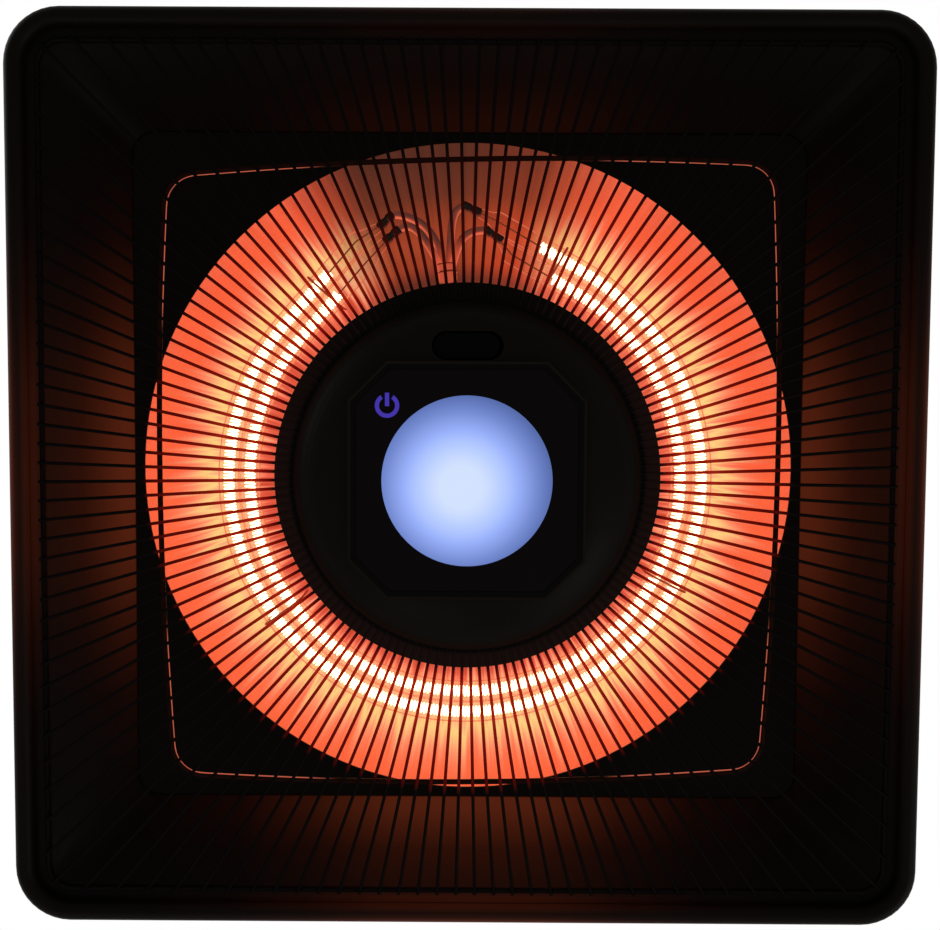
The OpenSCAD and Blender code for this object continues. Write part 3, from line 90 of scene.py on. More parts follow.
# Properties
class ShadeSizes(bpy.types.PropertyGroup):
    half: FloatProperty(
        name="Half width", description="Half the width over the rolled edge", default=RIM_HALF, unit="LENGTH"
    )
    corner: FloatProperty(
        name="Corner radius", description="Radius of the rim's corners", default=26 * MM, unit="LENGTH"
    )
    sheet: FloatProperty(
        name="Sheet", description="Thickness of the pressed sheet", default=1 * MM, unit="LENGTH"
    )
    roll: FloatProperty(
        name="Roll", description="Inside radius of the rolled edge", default=3.5 * MM, unit="LENGTH"
    )
    gutter: FloatProperty(
        name="Gutter", description="Distance from the outer edge to the foot of the skirt", default=16 * MM,
        unit="LENGTH",
    )
    bend: FloatProperty(
        name="Bend radius", description="Radius of the bends in the sheet", default=2.5 * MM, unit="LENGTH"
    )
    top: FloatProperty(
        name="Top", description="Half the width of the flat top", default=113 * MM, unit="LENGTH"
    )
    hole: FloatProperty(
        name="Top hole", description="Radius of the opening in the top", default=50 * MM, unit="LENGTH"
    )


class ReflectorSizes(bpy.types.PropertyGroup):
    mouth: FloatProperty(
        name="Mouth", description="Radius of the reflector's opening", default=157.8 * MM, unit="LENGTH"
    )
    inner: FloatProperty(
        name="Inner wall", description="Radius of the wall that stands against the hub", default=87.7 * MM,
        unit="LENGTH",
    )
    depth: FloatProperty(
        name="Depth", description="Depth of the trough above the baffle plate", default=46 * MM, unit="LENGTH"
    )
    sheet: FloatProperty(
        name="Sheet", description="Thickness of the spun sheet", default=0.8 * MM, unit="LENGTH"
    )
    steps: IntProperty(
        name="Steps", description="Facets round the spun trough", default=240, min=48, max=480
    )


class TubeSizes(bpy.types.PropertyGroup):
    ring: FloatProperty(
        name="Ring", description="Radius midway between the two tubes", default=113.75 * MM, unit="LENGTH"
    )
    radius: FloatProperty(
        name="Tube", description="Outside radius of each quartz tube", default=5.2 * MM, unit="LENGTH"
    )
    pitch: FloatProperty(
        name="Coil pitch", description="Distance between the turns of the filaments", default=1.7 * MM, unit="LENGTH"
    )
    wire: FloatProperty(
        name="Coil wire", description="Radius of the filaments' wire", default=0.42 * MM, unit="LENGTH"
    )


class GuardSizes(bpy.types.PropertyGroup):
    half: FloatProperty(
        name="Support ring", description="Half the width of the square support ring", default=143.3 * MM, unit="LENGTH"
    )
    bow: FloatProperty(
        name="Bow", description="Radius of the support ring's bowed sides", default=2.0, unit="LENGTH"
    )
    corner: FloatProperty(
        name="Corner", description="Radius of the support ring's corners", default=16 * MM, unit="LENGTH"
    )
    wire: FloatProperty(
        name="Ring wire", description="Radius of the rings' wire", default=1.25 * MM, unit="LENGTH"
    )


class HeaterColours(bpy.types.PropertyGroup):
    enamel: FloatVectorProperty(
        name="Enamel", description="Colour of the enamelled sheet", subtype="COLOR", default=(0.0021, 0.0015, 0.0010)
    )
    hub: FloatVectorProperty(
        name="Hub", description="Colour of the hub's moulded cover", subtype="COLOR", default=(0.0036, 0.0031, 0.0022)
    )
    # the reflector's colour is painted light and shade: dark and red as in the tubes' light, not the grey of bare
    # aluminium
    metal: FloatVectorProperty(
        name="Reflector", description="Colour of the hot reflector", subtype="COLOR", default=(0.11, 0.034, 0.016)
    )
    glow: FloatVectorProperty(
        name="Glow", description="Light of the filaments", subtype="COLOR", default=(1.0, 0.62, 0.34)
    )
    lamp: FloatVectorProperty(
        name="Lamp", description="Light in the middle of the lens", subtype="COLOR", default=(0.645, 0.755, 0.985)
    )


# Finishes
class Value:
    """A socket in a node tree. Arithmetic on it adds Math nodes."""

    def __init__(self, nodes, socket):
        self.nodes = nodes
        self.socket = socket

    def math(self, operation, *values):
        return self.nodes.node("ShaderNodeMath", {"operation": operation}, dict(enumerate(values)))

    def by(self, operation, *others):
        """A Math node with this value first."""
        return self.math(operation, self, *others)

    def __abs__(self):
        return self.by("ABSOLUTE")

    def __add__(self, other):
        return self.math("ADD", self, other)

    def __radd__(self, other):
        return self.math("ADD", other, self)

    def __sub__(self, other):
        return self.math("SUBTRACT", self, other)

    def __rsub__(self, other):
        return self.math("SUBTRACT", other, self)

    def __mul__(self, other):
        return self.math("MULTIPLY", self, other)

    def __rmul__(self, other):
        return self.math("MULTIPLY", other, self)

    def __truediv__(self, other):
        return self.math("DIVIDE", self, other)

    def __rtruediv__(self, other):
        return self.math("DIVIDE", other, self)


class Nodes:
    """The node tree of a material or a world."""

    def __init__(self, owner):
        owner.use_nodes = True
        self.tree = owner.node_tree

    def node(self, kind, settings=None, sockets=None, out=0):
        node = self.tree.nodes.new(kind)
        for key, value in (settings or {}).items():
            setattr(node, key, value)
        for key, value in (sockets or {}).items():
            self.feed(node.inputs[key], value)
        return Value(self, node.outputs[out])

    def feed(self, socket, value):
        if isinstance(value, Value):
            self.tree.links.new(value.socket, socket)
        elif socket.type == "RGBA" and len(value) == 3:
            socket.default_value = (*value, 1.0)
        else:
            socket.default_value = value

    def outputs(self, value):
        """All outputs of the node that a value comes from."""
        return [Value(self, output) for output in value.socket.node.outputs]


class Finish(Nodes):
    """A procedural material round one Principled shader."""

    def __init__(self, name, **constants):
        self.name = name
        self.material = bpy.data.materials.new(name)
        super().__init__(self.material)
        self.shader = next(n for n in self.tree.nodes if n.type == "BSDF_PRINCIPLED")
        self.set(**constants)

    def set(self, **values):
        """Sets the shader's own sockets: Base_Color is Base Color."""
        for key, value in values.items():
            self.feed(self.shader.inputs[key.replace("_", " ")], value)

    def light(self, share, dark, lit):
        """Light that a share mixes from two colours."""
        self.set(Emission_Color=self.mix(share, dark, lit), Emission_Strength=1.0)

    def paint(self, share, dark, pale, rough, spread):
        """Colour and roughness that a share varies."""
        self.set(Base_Color=self.mix(share, dark, pale), Roughness=rough + spread * share)

    def point(self, move=(0, 0, 0), scale=(1, 1, 1), turn=(0, 0, 0)):
        place = self.node("ShaderNodeTexCoord", out="Object")
        sockets = {"Vector": place, "Location": move, "Rotation": turn, "Scale": scale}
        return self.node("ShaderNodeMapping", None, sockets)

    def parts(self, vector):
        return self.outputs(self.node("ShaderNodeSeparateXYZ", None, {"Vector": vector}))

    def normal(self):
        return self.parts(self.node("ShaderNodeTexCoord", out="Normal"))

    def underside(self, edge=0.06):
        """1 on faces that look down, 0 on faces that look up."""
        *_, nz = self.normal()
        return self.ramp(0.5 - 0.5 * nz, [(0.5 - edge, 0.0), (0.5 + edge, 1.0)])

    def noise(self, scale, detail=2.0, rough=0.5, vector=None):
        return self.node(
            "ShaderNodeTexNoise", None,
            {"Vector": vector or self.point(), "Scale": scale, "Detail": detail, "Roughness": rough},
        )

    def ripple(self, along, scale, detail):
        """Noise that changes along one value only."""
        return self.node(
            "ShaderNodeTexNoise", {"noise_dimensions": "1D"}, {"W": along, "Scale": scale, "Detail": detail}
        )

    def cells(self, scale, out="Distance"):
        return self.node("ShaderNodeTexVoronoi", None, {"Vector": self.point(), "Scale": scale}, out)

    def bricks(self, scale, gap, one, two, between, vector=None):
        """Rows of short bars in two colours, with a third between them."""
        return self.node(
            "ShaderNodeTexBrick", {"offset": 0.5},
            {"Vector": vector or self.point(), "Scale": scale, "Mortar Size": gap, "Color1": one, "Color2": two,
             "Mortar": between},
            "Color",
        )

    def ramp(self, value, stops, ease="LINEAR"):
        made = self.node("ShaderNodeValToRGB", None, {"Fac": value}, "Color")
        ramp = made.socket.node.color_ramp
        ramp.interpolation = ease
        while len(ramp.elements) < len(stops):
            ramp.elements.new(0.5)
        for element, (place, colour) in zip(ramp.elements, stops):
            element.position = place
            element.color = (*colour, 1.0) if isinstance(colour, tuple) else (colour, colour, colour, 1.0)
        return made

    def mix(self, factor, a, b, blend="MIX"):
        node = self.tree.nodes.new("ShaderNodeMix")
        node.data_type = "RGBA"
        node.blend_type = blend
        colours = [socket for socket in node.inputs if socket.type == "RGBA"]
        self.feed(node.inputs[0], factor)
        self.feed(colours[0], a)
        self.feed(colours[1], b)
        return Value(self, next(socket for socket in node.outputs if socket.type == "RGBA"))

    def bump(self, height, strength=0.2, distance=0.2 * MM):
        return self.node("ShaderNodeBump", None, {"Height": height, "Strength": strength, "Distance": distance})


def toned(colour, share):
    """A colour made darker or lighter by a share."""
    return tuple(share * c for c in colour)


def enamel(name, colour, rough=0.46, grain=900.0, **constants):
    """Stoved enamel: near black, with orange peel and faint dust, and glossier where it faces up."""
    finish = Finish(name, Coat_Roughness=0.28, **constants)
    peel = finish.noise(grain, 3.0, 0.55)
    dust = finish.noise(38.0, 4.0, 0.6)
    finish.paint(dust, toned(colour, 0.8), toned(colour, 1.25), rough - 0.05, 0.1)
    finish.set(
        Coat_Weight=finish.ramp(finish.underside(), [(0.0, 0.30), (1.0, 0.0)]), Normal=finish.bump(peel, 0.12)
    )
    return finish


def ring_coordinates(finish, shift=(0, 0, 0)):
    """Coordinates and radius from the hub's axis, or from the axis of the tubes' ring."""
    x, y, z = finish.parts(finish.point(move=shift))
    return x, y, z, (x * x + y * y).by("SQRT")


def hot_share(finish, x, y, start=0.28, full=0.60):
    """1 where the filaments glow, falling to 0 between the tube's two ends."""
    # the angle is 0 on the side of the main switch; the gap between the hot ends is centred a little left of it
    away = abs(x.by("ARCTAN2", -1.0 * y) + 0.07)
    return finish.ramp(away / math.pi, [(start / math.pi, 0.0), (full / math.pi, 1.0)], "EASE")


def skirt_sheen(finish):
    """Red light of the reflector on the inside of the skirt: strongest in the middle of each side."""
    x, y, _ = finish.parts(finish.point())
    most, least = abs(x).by("MAXIMUM", abs(y)), abs(x).by("MINIMUM", abs(y))
    across = finish.ramp(
        (most - SKIRT_INSIDE) / (RIM_HALF - SKIRT_INSIDE),
        [(0.048, 0.0), (0.058, 1.0), (0.14, 0.95), (0.30, 0.55), (0.44, 0.27), (0.62, 0.16), (0.74, 0.13),
         (0.80, 0.30), (0.85, 0.28), (0.89, 0.08), (0.93, 0.18), (0.975, 0.72)],
    )
    along = finish.ramp(
        least / RIM_HALF, [(0.0, 1.0), (0.17, 0.85), (0.35, 0.31), (0.52, 0.07), (0.68, 0.02), (0.8, 0.0)]
    )
    # left, lower, right and switch side take different shares of the light
    side = finish.ramp(
        y.by("ARCTAN2", x) / (2 * math.pi) + 0.5,
        [(0.0, 0.92), (0.10, 0.82), (0.15, 0.12), (0.35, 0.13), (0.40, 0.80), (0.60, 0.88), (0.65, 0.90), (0.85, 0.92),
         (0.90, 0.92)],
    )
    return across * along * side * finish.underside()


def enamelled_finishes(colours):
    """Shade, baffle plate and guard."""
    shade = enamel("black_enamel", tuple(colours.enamel), Specular_IOR_Level=0.035)
    shade.light(skirt_sheen(shade), BLACK, (0.095, 0.0155, 0.0054))
    dull = enamel("dull_enamel", (0.0024, 0.0017, 0.0012), 0.6, 900.0, Specular_IOR_Level=0.028)

    # Enamelled wire, with painted red light of the tubes behind it
    wire = enamel("wire_enamel", (0.0022, 0.0014, 0.0012), 0.5, 1500.0, Specular_IOR_Level=0.02)
    x, y, _, radius = ring_coordinates(wire)
    # painted red light of the tubes on the wires, strongest where they cross the reflector's bright band
    heat = wire.ramp(
        (radius - TROUGH_FOOT) / TROUGH_FOOT,
        [(0.0, BLACK), (0.02, (0.0036, 0.0013, 0.0011)), (0.105, (0.0036, 0.0013, 0.0011)), (0.128, (0.10, 0.0, 0.0)),
         (0.17, (0.20, 0.002, 0.0)), (0.23, (0.38, 0.014, 0.004)), (0.33, (0.26, 0.006, 0.001)),
         (0.41, (0.33, 0.012, 0.005)), (0.48, (0.20, 0.004, 0.001)), (0.58, (0.135, 0.002, 0.0)),
         (0.70, (0.085, 0.001, 0.0)), (0.80, (0.050, 0.001, 0.0)), (0.84, (0.030, 0.0005, 0.0)), (0.868, BLACK)],
    )
    wire.light(0.1 + 0.9 * hot_share(wire, x, y), BLACK, heat)

    # The support ring shines in a thin line on its side towards the tubes, where the baffle plate is behind it
    ring = enamel("ring_enamel", (0.0022, 0.0014, 0.0012), 0.5, 1500.0, Specular_IOR_Level=0.02)
    x, y, _, radius = ring_coordinates(ring)
    nx, ny, _ = ring.normal()
    inward = -1.0 * (x * nx + y * ny) / radius
    line = ring.ramp(inward, [(0.62, 0.0), (0.73, 1.0), (0.82, 1.0), (0.90, 0.0)])
    beyond = ring.ramp(radius / (200 * MM), [(0.775, 0.0), (0.80, 1.0)])
    ring.light(line * beyond, (0.004, 0.0005, 0.0), (0.56, 0.115, 0.066))
    return shade, dull, wire, ring


def reflector_finish(colours):
    """Spun aluminium, lit by the tubes."""
    spun = Finish("spun_aluminium", Metallic=1.0)
    x, y, _, radius = ring_coordinates(spun)
    streaks, broad = spun.ripple(radius, 2600.0, 3.0), spun.ripple(radius, 260.0, 2.0)
    patch = spun.noise(24.0, 3.0)
    around = x.by("ARCTAN2", y)
    rays, beams = spun.ripple(around, 46.0, 3.0), spun.ripple(around, 11.0, 1.0)
    *_, near = ring_coordinates(spun, -RING_SHIFT)
    # painted light of the tubes on the reflector, brightest beside the hot filaments, streaked in painted rays
    glow = spun.ramp(
        (near + 22 * MM * (rays - 0.5) + 13 * MM * (beams - 0.5) - TROUGH_FOOT) / TROUGH_FOOT,
        [(0.05, (0.36, 0.030, 0.014)), (0.24, (0.62, 0.060, 0.030)), (0.30, (0.74, 0.100, 0.062)),
         (0.36, (0.95, 0.250, 0.130)), (0.44, (1.00, 0.46, 0.24)), (0.58, (1.00, 0.50, 0.23)),
         (0.63, (1.00, 0.68, 0.23)), (0.68, (1.00, 0.50, 0.20)), (0.73, (0.97, 0.29, 0.145)),
         (0.79, (0.93, 0.165, 0.080)), (0.85, (0.90, 0.115, 0.045)), (0.93, (0.86, 0.098, 0.040)),
         (1.0, (0.76, 0.100, 0.050))],
    )
    # Painted shade where the filaments don't glow: darker and greyer behind the leads, with a painted reflection of
    # the tubes' ends in a warm band
    painted_end_light = spun.ramp(
        (near - TROUGH_FOOT) / TROUGH_FOOT,
        [(0.12, (0.045, 0.014, 0.009)), (0.26, (0.085, 0.022, 0.014)), (0.38, (0.32, 0.048, 0.019)),
         (0.55, (0.36, 0.052, 0.019)), (0.66, (0.27, 0.045, 0.018)), (0.80, (0.13, 0.032, 0.016)),
         (1.0, (0.078, 0.025, 0.015))],
    )
    # painted light, a little redder on the right
    redder_right_light = spun.ramp(
        0.5 + x / (160 * MM),
        [(0.48, 0.50), (0.62, (0.85, 0.62, 0.55)), (0.75, (1.0, 0.70, 0.60))],
    )
    leaning = spun.mix(1.0, painted_end_light, redder_right_light, "MULTIPLY")
    dim = spun.node("ShaderNodeVectorMath", {"operation": "SCALE"}, {0: leaning, "Scale": 2.0})
    lit = spun.mix(hot_share(spun, x, y), dim, glow)
    # the base colour is painted dark and red, as in the tubes' light
    spun.set(
        Base_Color=spun.mix(streaks, toned(colours.metal, 0.8), tuple(colours.metal)),
        Roughness=0.30 + 0.12 * streaks + 0.05 * patch,
        Normal=spun.bump(streaks + 0.6 * broad, 0.18, 0.1 * MM),
    )
    spun.light(0.60 + 0.24 * streaks + 0.42 * rays, BLACK, lit)
    return (spun,)


def moulded_finishes(colours):
    """Hub, control panel and main switch."""
    # Moulded hub: fine leather grain, with painted red light of the tubes towards its flange
    hub = Finish("hub_plastic", Specular_IOR_Level=0.02, Coat_Roughness=0.3)
    grain = hub.cells(1400.0)
    tone = hub.noise(30.0, 3.0)
    x, y, _, radius = ring_coordinates(hub)
    painted_rim_light = hub.ramp(radius / (100 * MM), [(0.806, 0.0), (0.822, 1.0), (0.88, 1.2)])
    hub.paint(tone, toned(colours.hub, 0.85), toned(colours.hub, 1.2), 0.36, 0.08)
    hub.set(
        Coat_Weight=hub.ramp(hub.underside(), [(0.0, 0.30), (1.0, 0.0)]), Normal=hub.bump(grain, 0.16, 0.08 * MM)
    )
    hub.light(painted_rim_light * hot_share(hub, x, y, 0.3, 1.6), BLACK, (0.0056, 0.0020, 0.0017))

    black = Finish("black_plastic", Specular_IOR_Level=0.10)
    grain = black.cells(2200.0)
    tone = black.noise(60.0, 3.0)
    black.paint(tone, (0.0016, 0.0014, 0.0014), (0.0026, 0.0024, 0.0022), 0.42, 0.1)
    black.set(Normal=black.bump(grain, 0.14, 0.06 * MM))

    # The border round the panel, with a faint light on the ridge of its outer edge
    border = Finish("border_plastic", Specular_IOR_Level=0.025)
    grain = border.cells(1800.0)
    x, y, _ = border.parts(border.point())
    cut_corner = (abs(x) + abs(y) - 87 * MM) * math.sqrt(0.5) + PANEL_HALF
    edge = abs(x).by("MAXIMUM", abs(y)).by("MAXIMUM", cut_corner)
    ridge = border.ramp((edge - PANEL_HALF + 2 * MM) / (2 * MM), [(0.30, 0.0), (0.55, 1.0)])
    border.paint(grain, (0.0012, 0.0009, 0.0008), (0.0020, 0.0016, 0.0014), 0.34, 0.1)
    border.set(Normal=border.bump(grain, 0.12, 0.06 * MM))
    border.light(ridge * border.underside(), BLACK, (0.0028, 0.0019, 0.0013))

    switch = Finish("switch_plastic", Specular_IOR_Level=0.02)
    grain = switch.cells(2400.0)
    switch.paint(grain, (0.0009, 0.0007, 0.0007), (0.0014, 0.0011, 0.0011), 0.38, 0.1)
    switch.set(Normal=switch.bump(grain, 0.1, 0.05 * MM))

    # Control panel: dark glass, faintly smeared
    panel = Finish("glossy_panel", Specular_IOR_Level=0.045)
    panel.paint(panel.noise(26.0, 4.0), (0.0012, 0.0004, 0.0007), (0.0018, 0.0007, 0.0010), 0.10, 0.08)
    panel.set(Normal=panel.bump(panel.noise(120.0), 0.02))
    return hub, black, border, switch, panel


def tube_finishes(colours):
    """Quartz tubes with their filaments, caps and clips."""
    # Quartz: clear from the front, denser at the tube's sides
    quartz = Finish("quartz", IOR=1.46, Specular_IOR_Level=0.12, Base_Color=(0.16, 0.07, 0.045))
    facing = quartz.node("ShaderNodeLayerWeight", None, {"Blend": 0.5}, "Facing")
    lines = quartz.noise(12.0, 1.0)
    x, y, _ = quartz.parts(quartz.point())
    # The quartz's emission is painted light: orange glow of the filament where it is hot, and painted glints of the
    # tubes' light on the sides of the cold ends
    hot = hot_share(quartz, x, y, 0.30, 0.60)
    wall = quartz.ramp(facing, [(0.45, (1.0, 0.42, 0.20)), (0.60, (0.68, 0.12, 0.050))])
    painted_end_glints = quartz.ramp(
        facing,
        [(0.15, (0.12, 0.018, 0.008)), (0.42, (0.30, 0.040, 0.018)), (0.60, (0.92, 0.200, 0.105)),
         (0.80, (0.34, 0.040, 0.020))],
    )
    quartz.set(
        Alpha=quartz.ramp(facing, [(0.0, 0.05), (0.35, 0.12), (0.58, 0.60), (1.0, 0.80)]),
        Roughness=0.10 + 0.04 * lines + 0.24 * hot,
        Normal=quartz.bump(lines, 0.02),
        Emission_Color=quartz.mix(hot, painted_end_glints, wall),
        Emission_Strength=0.9,
    )

    filament = Finish("filament", Metallic=1.0, Emission_Strength=5.0)
    flicker = filament.noise(240.0, 2.0)
    filament.paint(flicker, (0.55, 0.45, 0.38), (0.75, 0.66, 0.58), 0.35, 0.2)
    brightest = tuple(min(1.0, c) for c in toned(colours.glow, 1.1))
    filament.set(Emission_Color=filament.mix(flicker, toned(colours.glow, 0.85), brightest))

    # Cold lead-in wires at the filament's ends, and the caps they end in
    lead = metal("lead_wire", (0.10, 0.05, 0.035), 0.45, 400.0)
    glimmer(lead, (0.10, 0.016, 0.007), (0.30, 0.050, 0.022))
    cap = metal("cap_steel", (0.030, 0.022, 0.018), 0.6, 300.0)
    glimmer(cap, (0.003, 0.0018, 0.0014), (0.20, 0.035, 0.018))
    clip = metal("clip_wire", (0.24, 0.10, 0.06), 0.4, 300.0)
    # painted red light of the tubes on the clips, patchy by noise
    clip.light(clip.noise(700.0), (0.10, 0.006, 0.002), (0.22, 0.020, 0.008))
    return quartz, filament, lead, cap, clip


def sleeve_finishes(colours):
    """Sleeved leads and their ferrule."""
    # Woven sleeve, with painted light of the tubes on its side towards the hub, on the sides away from the ferrule and
    # on the lower side of the leads gathered at the ferrule
    sleeve = Finish("glass_fibre", Specular_IOR_Level=0.1)
    slanting = sleeve.point(turn=(0.0, 0.0, math.radians(45)))
    braid = sleeve.bricks(700.0, 0.06, (0.20, 0.12, 0.10), (0.15, 0.09, 0.075), (0.05, 0.025, 0.02), slanting)
    nx, ny, _ = sleeve.normal()
    x, _, z, radius = ring_coordinates(sleeve)
    outward = sleeve.ramp(0.5 + (x + 11.4 * MM) / (12 * MM), [(0.0, 0.0), (1.0, 1.0)]) * 2.0 - 1.0
    lit_side = sleeve.ramp(
        0.5 + 0.5 * ny.by("MAXIMUM", 0.85 * nx * outward),
        [(0.12, (0.030, 0.010, 0.008)), (0.42, (0.085, 0.021, 0.014)), (0.64, (0.17, 0.032, 0.019)),
         (0.78, (0.60, 0.095, 0.046)), (0.93, (0.84, 0.150, 0.075))],
    )
    gathered = sleeve.ramp((radius - 90 * MM) / (30 * MM), [(0.42, 1.0), (0.90, 0.0)])
    under = sleeve.ramp(0.5 + (z - (RIM + TUBE_H)) / (8 * MM), [(0.38, 1.0), (0.66, 0.30)])
    painted_bundle_light = sleeve.mix(gathered * under, BLACK, (0.66, 0.088, 0.040))
    sleeve.set(
        Base_Color=sleeve.mix(1.0, braid, (0.35, 0.35, 0.35), "MULTIPLY"),
        Roughness=0.75 + 0.1 * sleeve.noise(900.0),
        Normal=sleeve.bump(sleeve.noise(2600.0), 0.4),
        Emission_Color=sleeve.mix(1.0, lit_side, painted_bundle_light, "LIGHTEN"),
        Emission_Strength=1.0,
    )

    # The ferrule with its two dark bands
    ceramic = Finish("ceramic", Specular_IOR_Level=0.1)
    *_, radius = ring_coordinates(ceramic)
    bands = ceramic.ramp(
        (radius - 90 * MM) / (20 * MM),
        [(0.38, 0.0), (0.40, 1.0), (0.43, 1.0), (0.45, 0.0), (0.58, 0.0), (0.60, 1.0)],
    )
    ceramic.set(
        Base_Color=ceramic.mix(bands, (0.20, 0.08, 0.05), (0.05, 0.015, 0.01)),
        Roughness=0.5 + 0.15 * ceramic.noise(500.0),
        Normal=ceramic.bump(ceramic.noise(900.0), 0.2),
    )
    # painted orange light of the tubes on the ferrule, dimmer on its dark bands
    ceramic.light(bands, (0.46, 0.058, 0.026), (0.09, 0.009, 0.004))
    return sleeve, ceramic


def fitting_finishes(colours):
    """Plated and moulded small parts, and the boards inside the hub."""
    made = [
        metal("zinc", (0.55, 0.55, 0.56), 0.3, 140.0),
        metal("brass", (0.72, 0.52, 0.22), 0.3, 260.0),
        spangle("galvanised"),
        speckle("rubber", (0.010, 0.010, 0.010), 0.75, 1800.0),
        speckle("white_plastic", (0.62, 0.62, 0.60), 0.45, 900.0),
        speckle("relay_blue", (0.02, 0.06, 0.22), 0.35, 900.0),
        speckle("cutout_body", (0.045, 0.032, 0.024), 0.4, 700.0),
    ]
    board = Finish("board_green", Specular_IOR_Level=0.4)
    tracks = board.bricks(90.0, 0.05, (0.010, 0.085, 0.030), (0.012, 0.105, 0.036), (0.10, 0.16, 0.03))
    board.set(Base_Color=tracks, Roughness=0.3 + 0.1 * board.noise(300.0), Normal=board.bump(board.noise(600.0), 0.1))

    chip = Finish("chip_yellow", Emission_Strength=0.8)
    dots = chip.cells(900.0)
    chip.paint(dots, (0.85, 0.72, 0.25), (0.7, 0.55, 0.12), 0.3, 0.2)
    chip.set(Emission_Color=chip.mix(dots, (0.65, 0.78, 1.0), (0.5, 0.65, 0.95)))
    return [*made, board, chip]


def lit_finishes(colours):
    """Lens and power symbol."""
    # Lens: the lamp's light, strongest a little off the middle
    lens = Finish("lens", Specular_IOR_Level=0.1, Emission_Strength=1.0)
    *_, off = ring_coordinates(lens, (2.6 * MM, -2.4 * MM, 0))
    light = lens.ramp(
        off / (40 * MM),
        [(0.0, tuple(colours.lamp)), (0.23, (0.630, 0.750, 0.975)), (0.33, (0.565, 0.680, 0.985)),
         (0.42, (0.475, 0.612, 0.975)), (0.52, (0.403, 0.528, 0.985)), (0.62, (0.302, 0.425, 0.94)),
         (0.72, (0.236, 0.334, 0.78)), (0.81, (0.172, 0.255, 0.64)), (0.91, (0.122, 0.188, 0.515)),
         (1.0, (0.085, 0.138, 0.385))],
    )
    lens.paint(lens.noise(60.0, 2.0), (0.010, 0.012, 0.016), (0.013, 0.015, 0.019), 0.32, 0.08)
    lens.set(Normal=lens.bump(lens.noise(1500.0), 0.05), Emission_Color=light)

    symbol = Finish("symbol", Specular_IOR_Level=0.05)
    grain = symbol.noise(700.0)
    symbol.paint(grain, (0.010, 0.008, 0.05), (0.014, 0.010, 0.07), 0.3, 0.1)
    symbol.light(grain, (0.038, 0.022, 0.30), (0.052, 0.032, 0.38))
    return lens, symbol


def make_finishes(colours):
    """All finishes of the heater by the name of their slot."""
    made = {}
    for family in (
        enamelled_finishes, reflector_finish, moulded_finishes, tube_finishes, sleeve_finishes, fitting_finishes,
        lit_finishes,
    ):
        made.update((finish.name, finish) for finish in family(colours))
    return made


def metal(name, colour, rough, scale):
    """Brushed metal with faint stains."""
    finish = Finish(name, Metallic=1.0)
    brushed = finish.noise(scale, 4.0, 0.6, finish.point(scale=(1, 1, 6)))
    stain = finish.noise(45.0, 4.0)
    finish.set(
        Base_Color=finish.mix(stain, toned(colour, 0.72), colour),
        Roughness=rough - 0.05 + 0.16 * brushed,
        Normal=finish.bump(brushed, 0.12),
    )
    return finish


def glimmer(finish, dark, lit):
    """Adds the tubes' light on the sides that face the hub."""
    _, ny, _ = finish.normal()
    finish.light(finish.ramp(0.5 + 0.5 * ny, [(0.70, 0.0), (0.93, 1.0)]), dark, lit)


def spangle(name):
    """Hot-dip galvanised sheet: crystals of slightly different grey."""
    finish = Finish(name, Metallic=1.0)
    tone = finish.node("ShaderNodeSeparateColor", None, {"Color": finish.cells(120.0, "Color")})
    finish.paint(tone, (0.42, 0.43, 0.44), (0.58, 0.59, 0.60), 0.38, 0.14)
    finish.set(Normal=finish.bump(finish.noise(300.0), 0.1))
    return finish


def speckle(name, colour, rough, scale):
    """Moulded or pressed material with a fine grain."""
    finish = Finish(name, Specular_IOR_Level=0.35)
    grain = finish.noise(scale, 3.0)
    finish.paint(grain, toned(colour, 0.85), colour, rough - 0.05, 0.1)
    finish.set(Normal=finish.bump(grain, 0.15))
    return finish


FINISHES = {}


def finish_nodes(*nodes, finish=None):
    """Gives CAD nodes their finish through their objects' material slots."""
    for node in nodes:
        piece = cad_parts[node]
        for slot in piece.material_slots:
            slot_name = finish or slot.material.name.split(".")[0]
            slot.link = "OBJECT"
            slot.material = FINISHES[slot_name].material


# Modelling by operator
def begin(name):
    """An empty piece in edit mode."""
    if bpy.context.mode != "OBJECT":
        bpy.ops.object.mode_set(mode="OBJECT")
    bpy.ops.object.select_all(action="DESELECT")
    bpy.ops.mesh.primitive_plane_add(size=MM, location=(0, 0, 0))
    piece = bpy.context.object
    piece.name = piece.data.name = name
    bpy.ops.object.mode_set(mode="EDIT")
    bpy.ops.mesh.select_mode(type="VERT")
    return piece


def pick(kind, test):
    """Selects the vertices, edges or faces of the piece in edit mode that pass the test."""
    bpy.ops.mesh.select_mode(type={"verts": "VERT", "edges": "EDGE", "faces": "FACE"}[kind])
    bpy.ops.mesh.select_all(action="DESELECT")
    mesh = bmesh.from_edit_mesh(bpy.context.object.data)
    for element in getattr(mesh, kind):
        element.select_set(bool(test(element)))
    mesh.select_flush_mode()
    bmesh.update_edit_mesh(bpy.context.object.data)


def trace(name, points, closed=False):
    """A chain of edges, drawn by extruding one vertex from point to point."""
    piece = begin(name)
    bpy.ops.mesh.merge(type="CENTER")
    bpy.ops.transform.translate(value=points[0])
    for here, there in zip(points, points[1:]):
        bpy.ops.mesh.extrude_region_move(TRANSFORM_OT_translate={"value": there - here})
    if closed:
        pick("verts", lambda v: len(v.link_edges) == 1)
        bpy.ops.mesh.edge_face_add()
    return piece


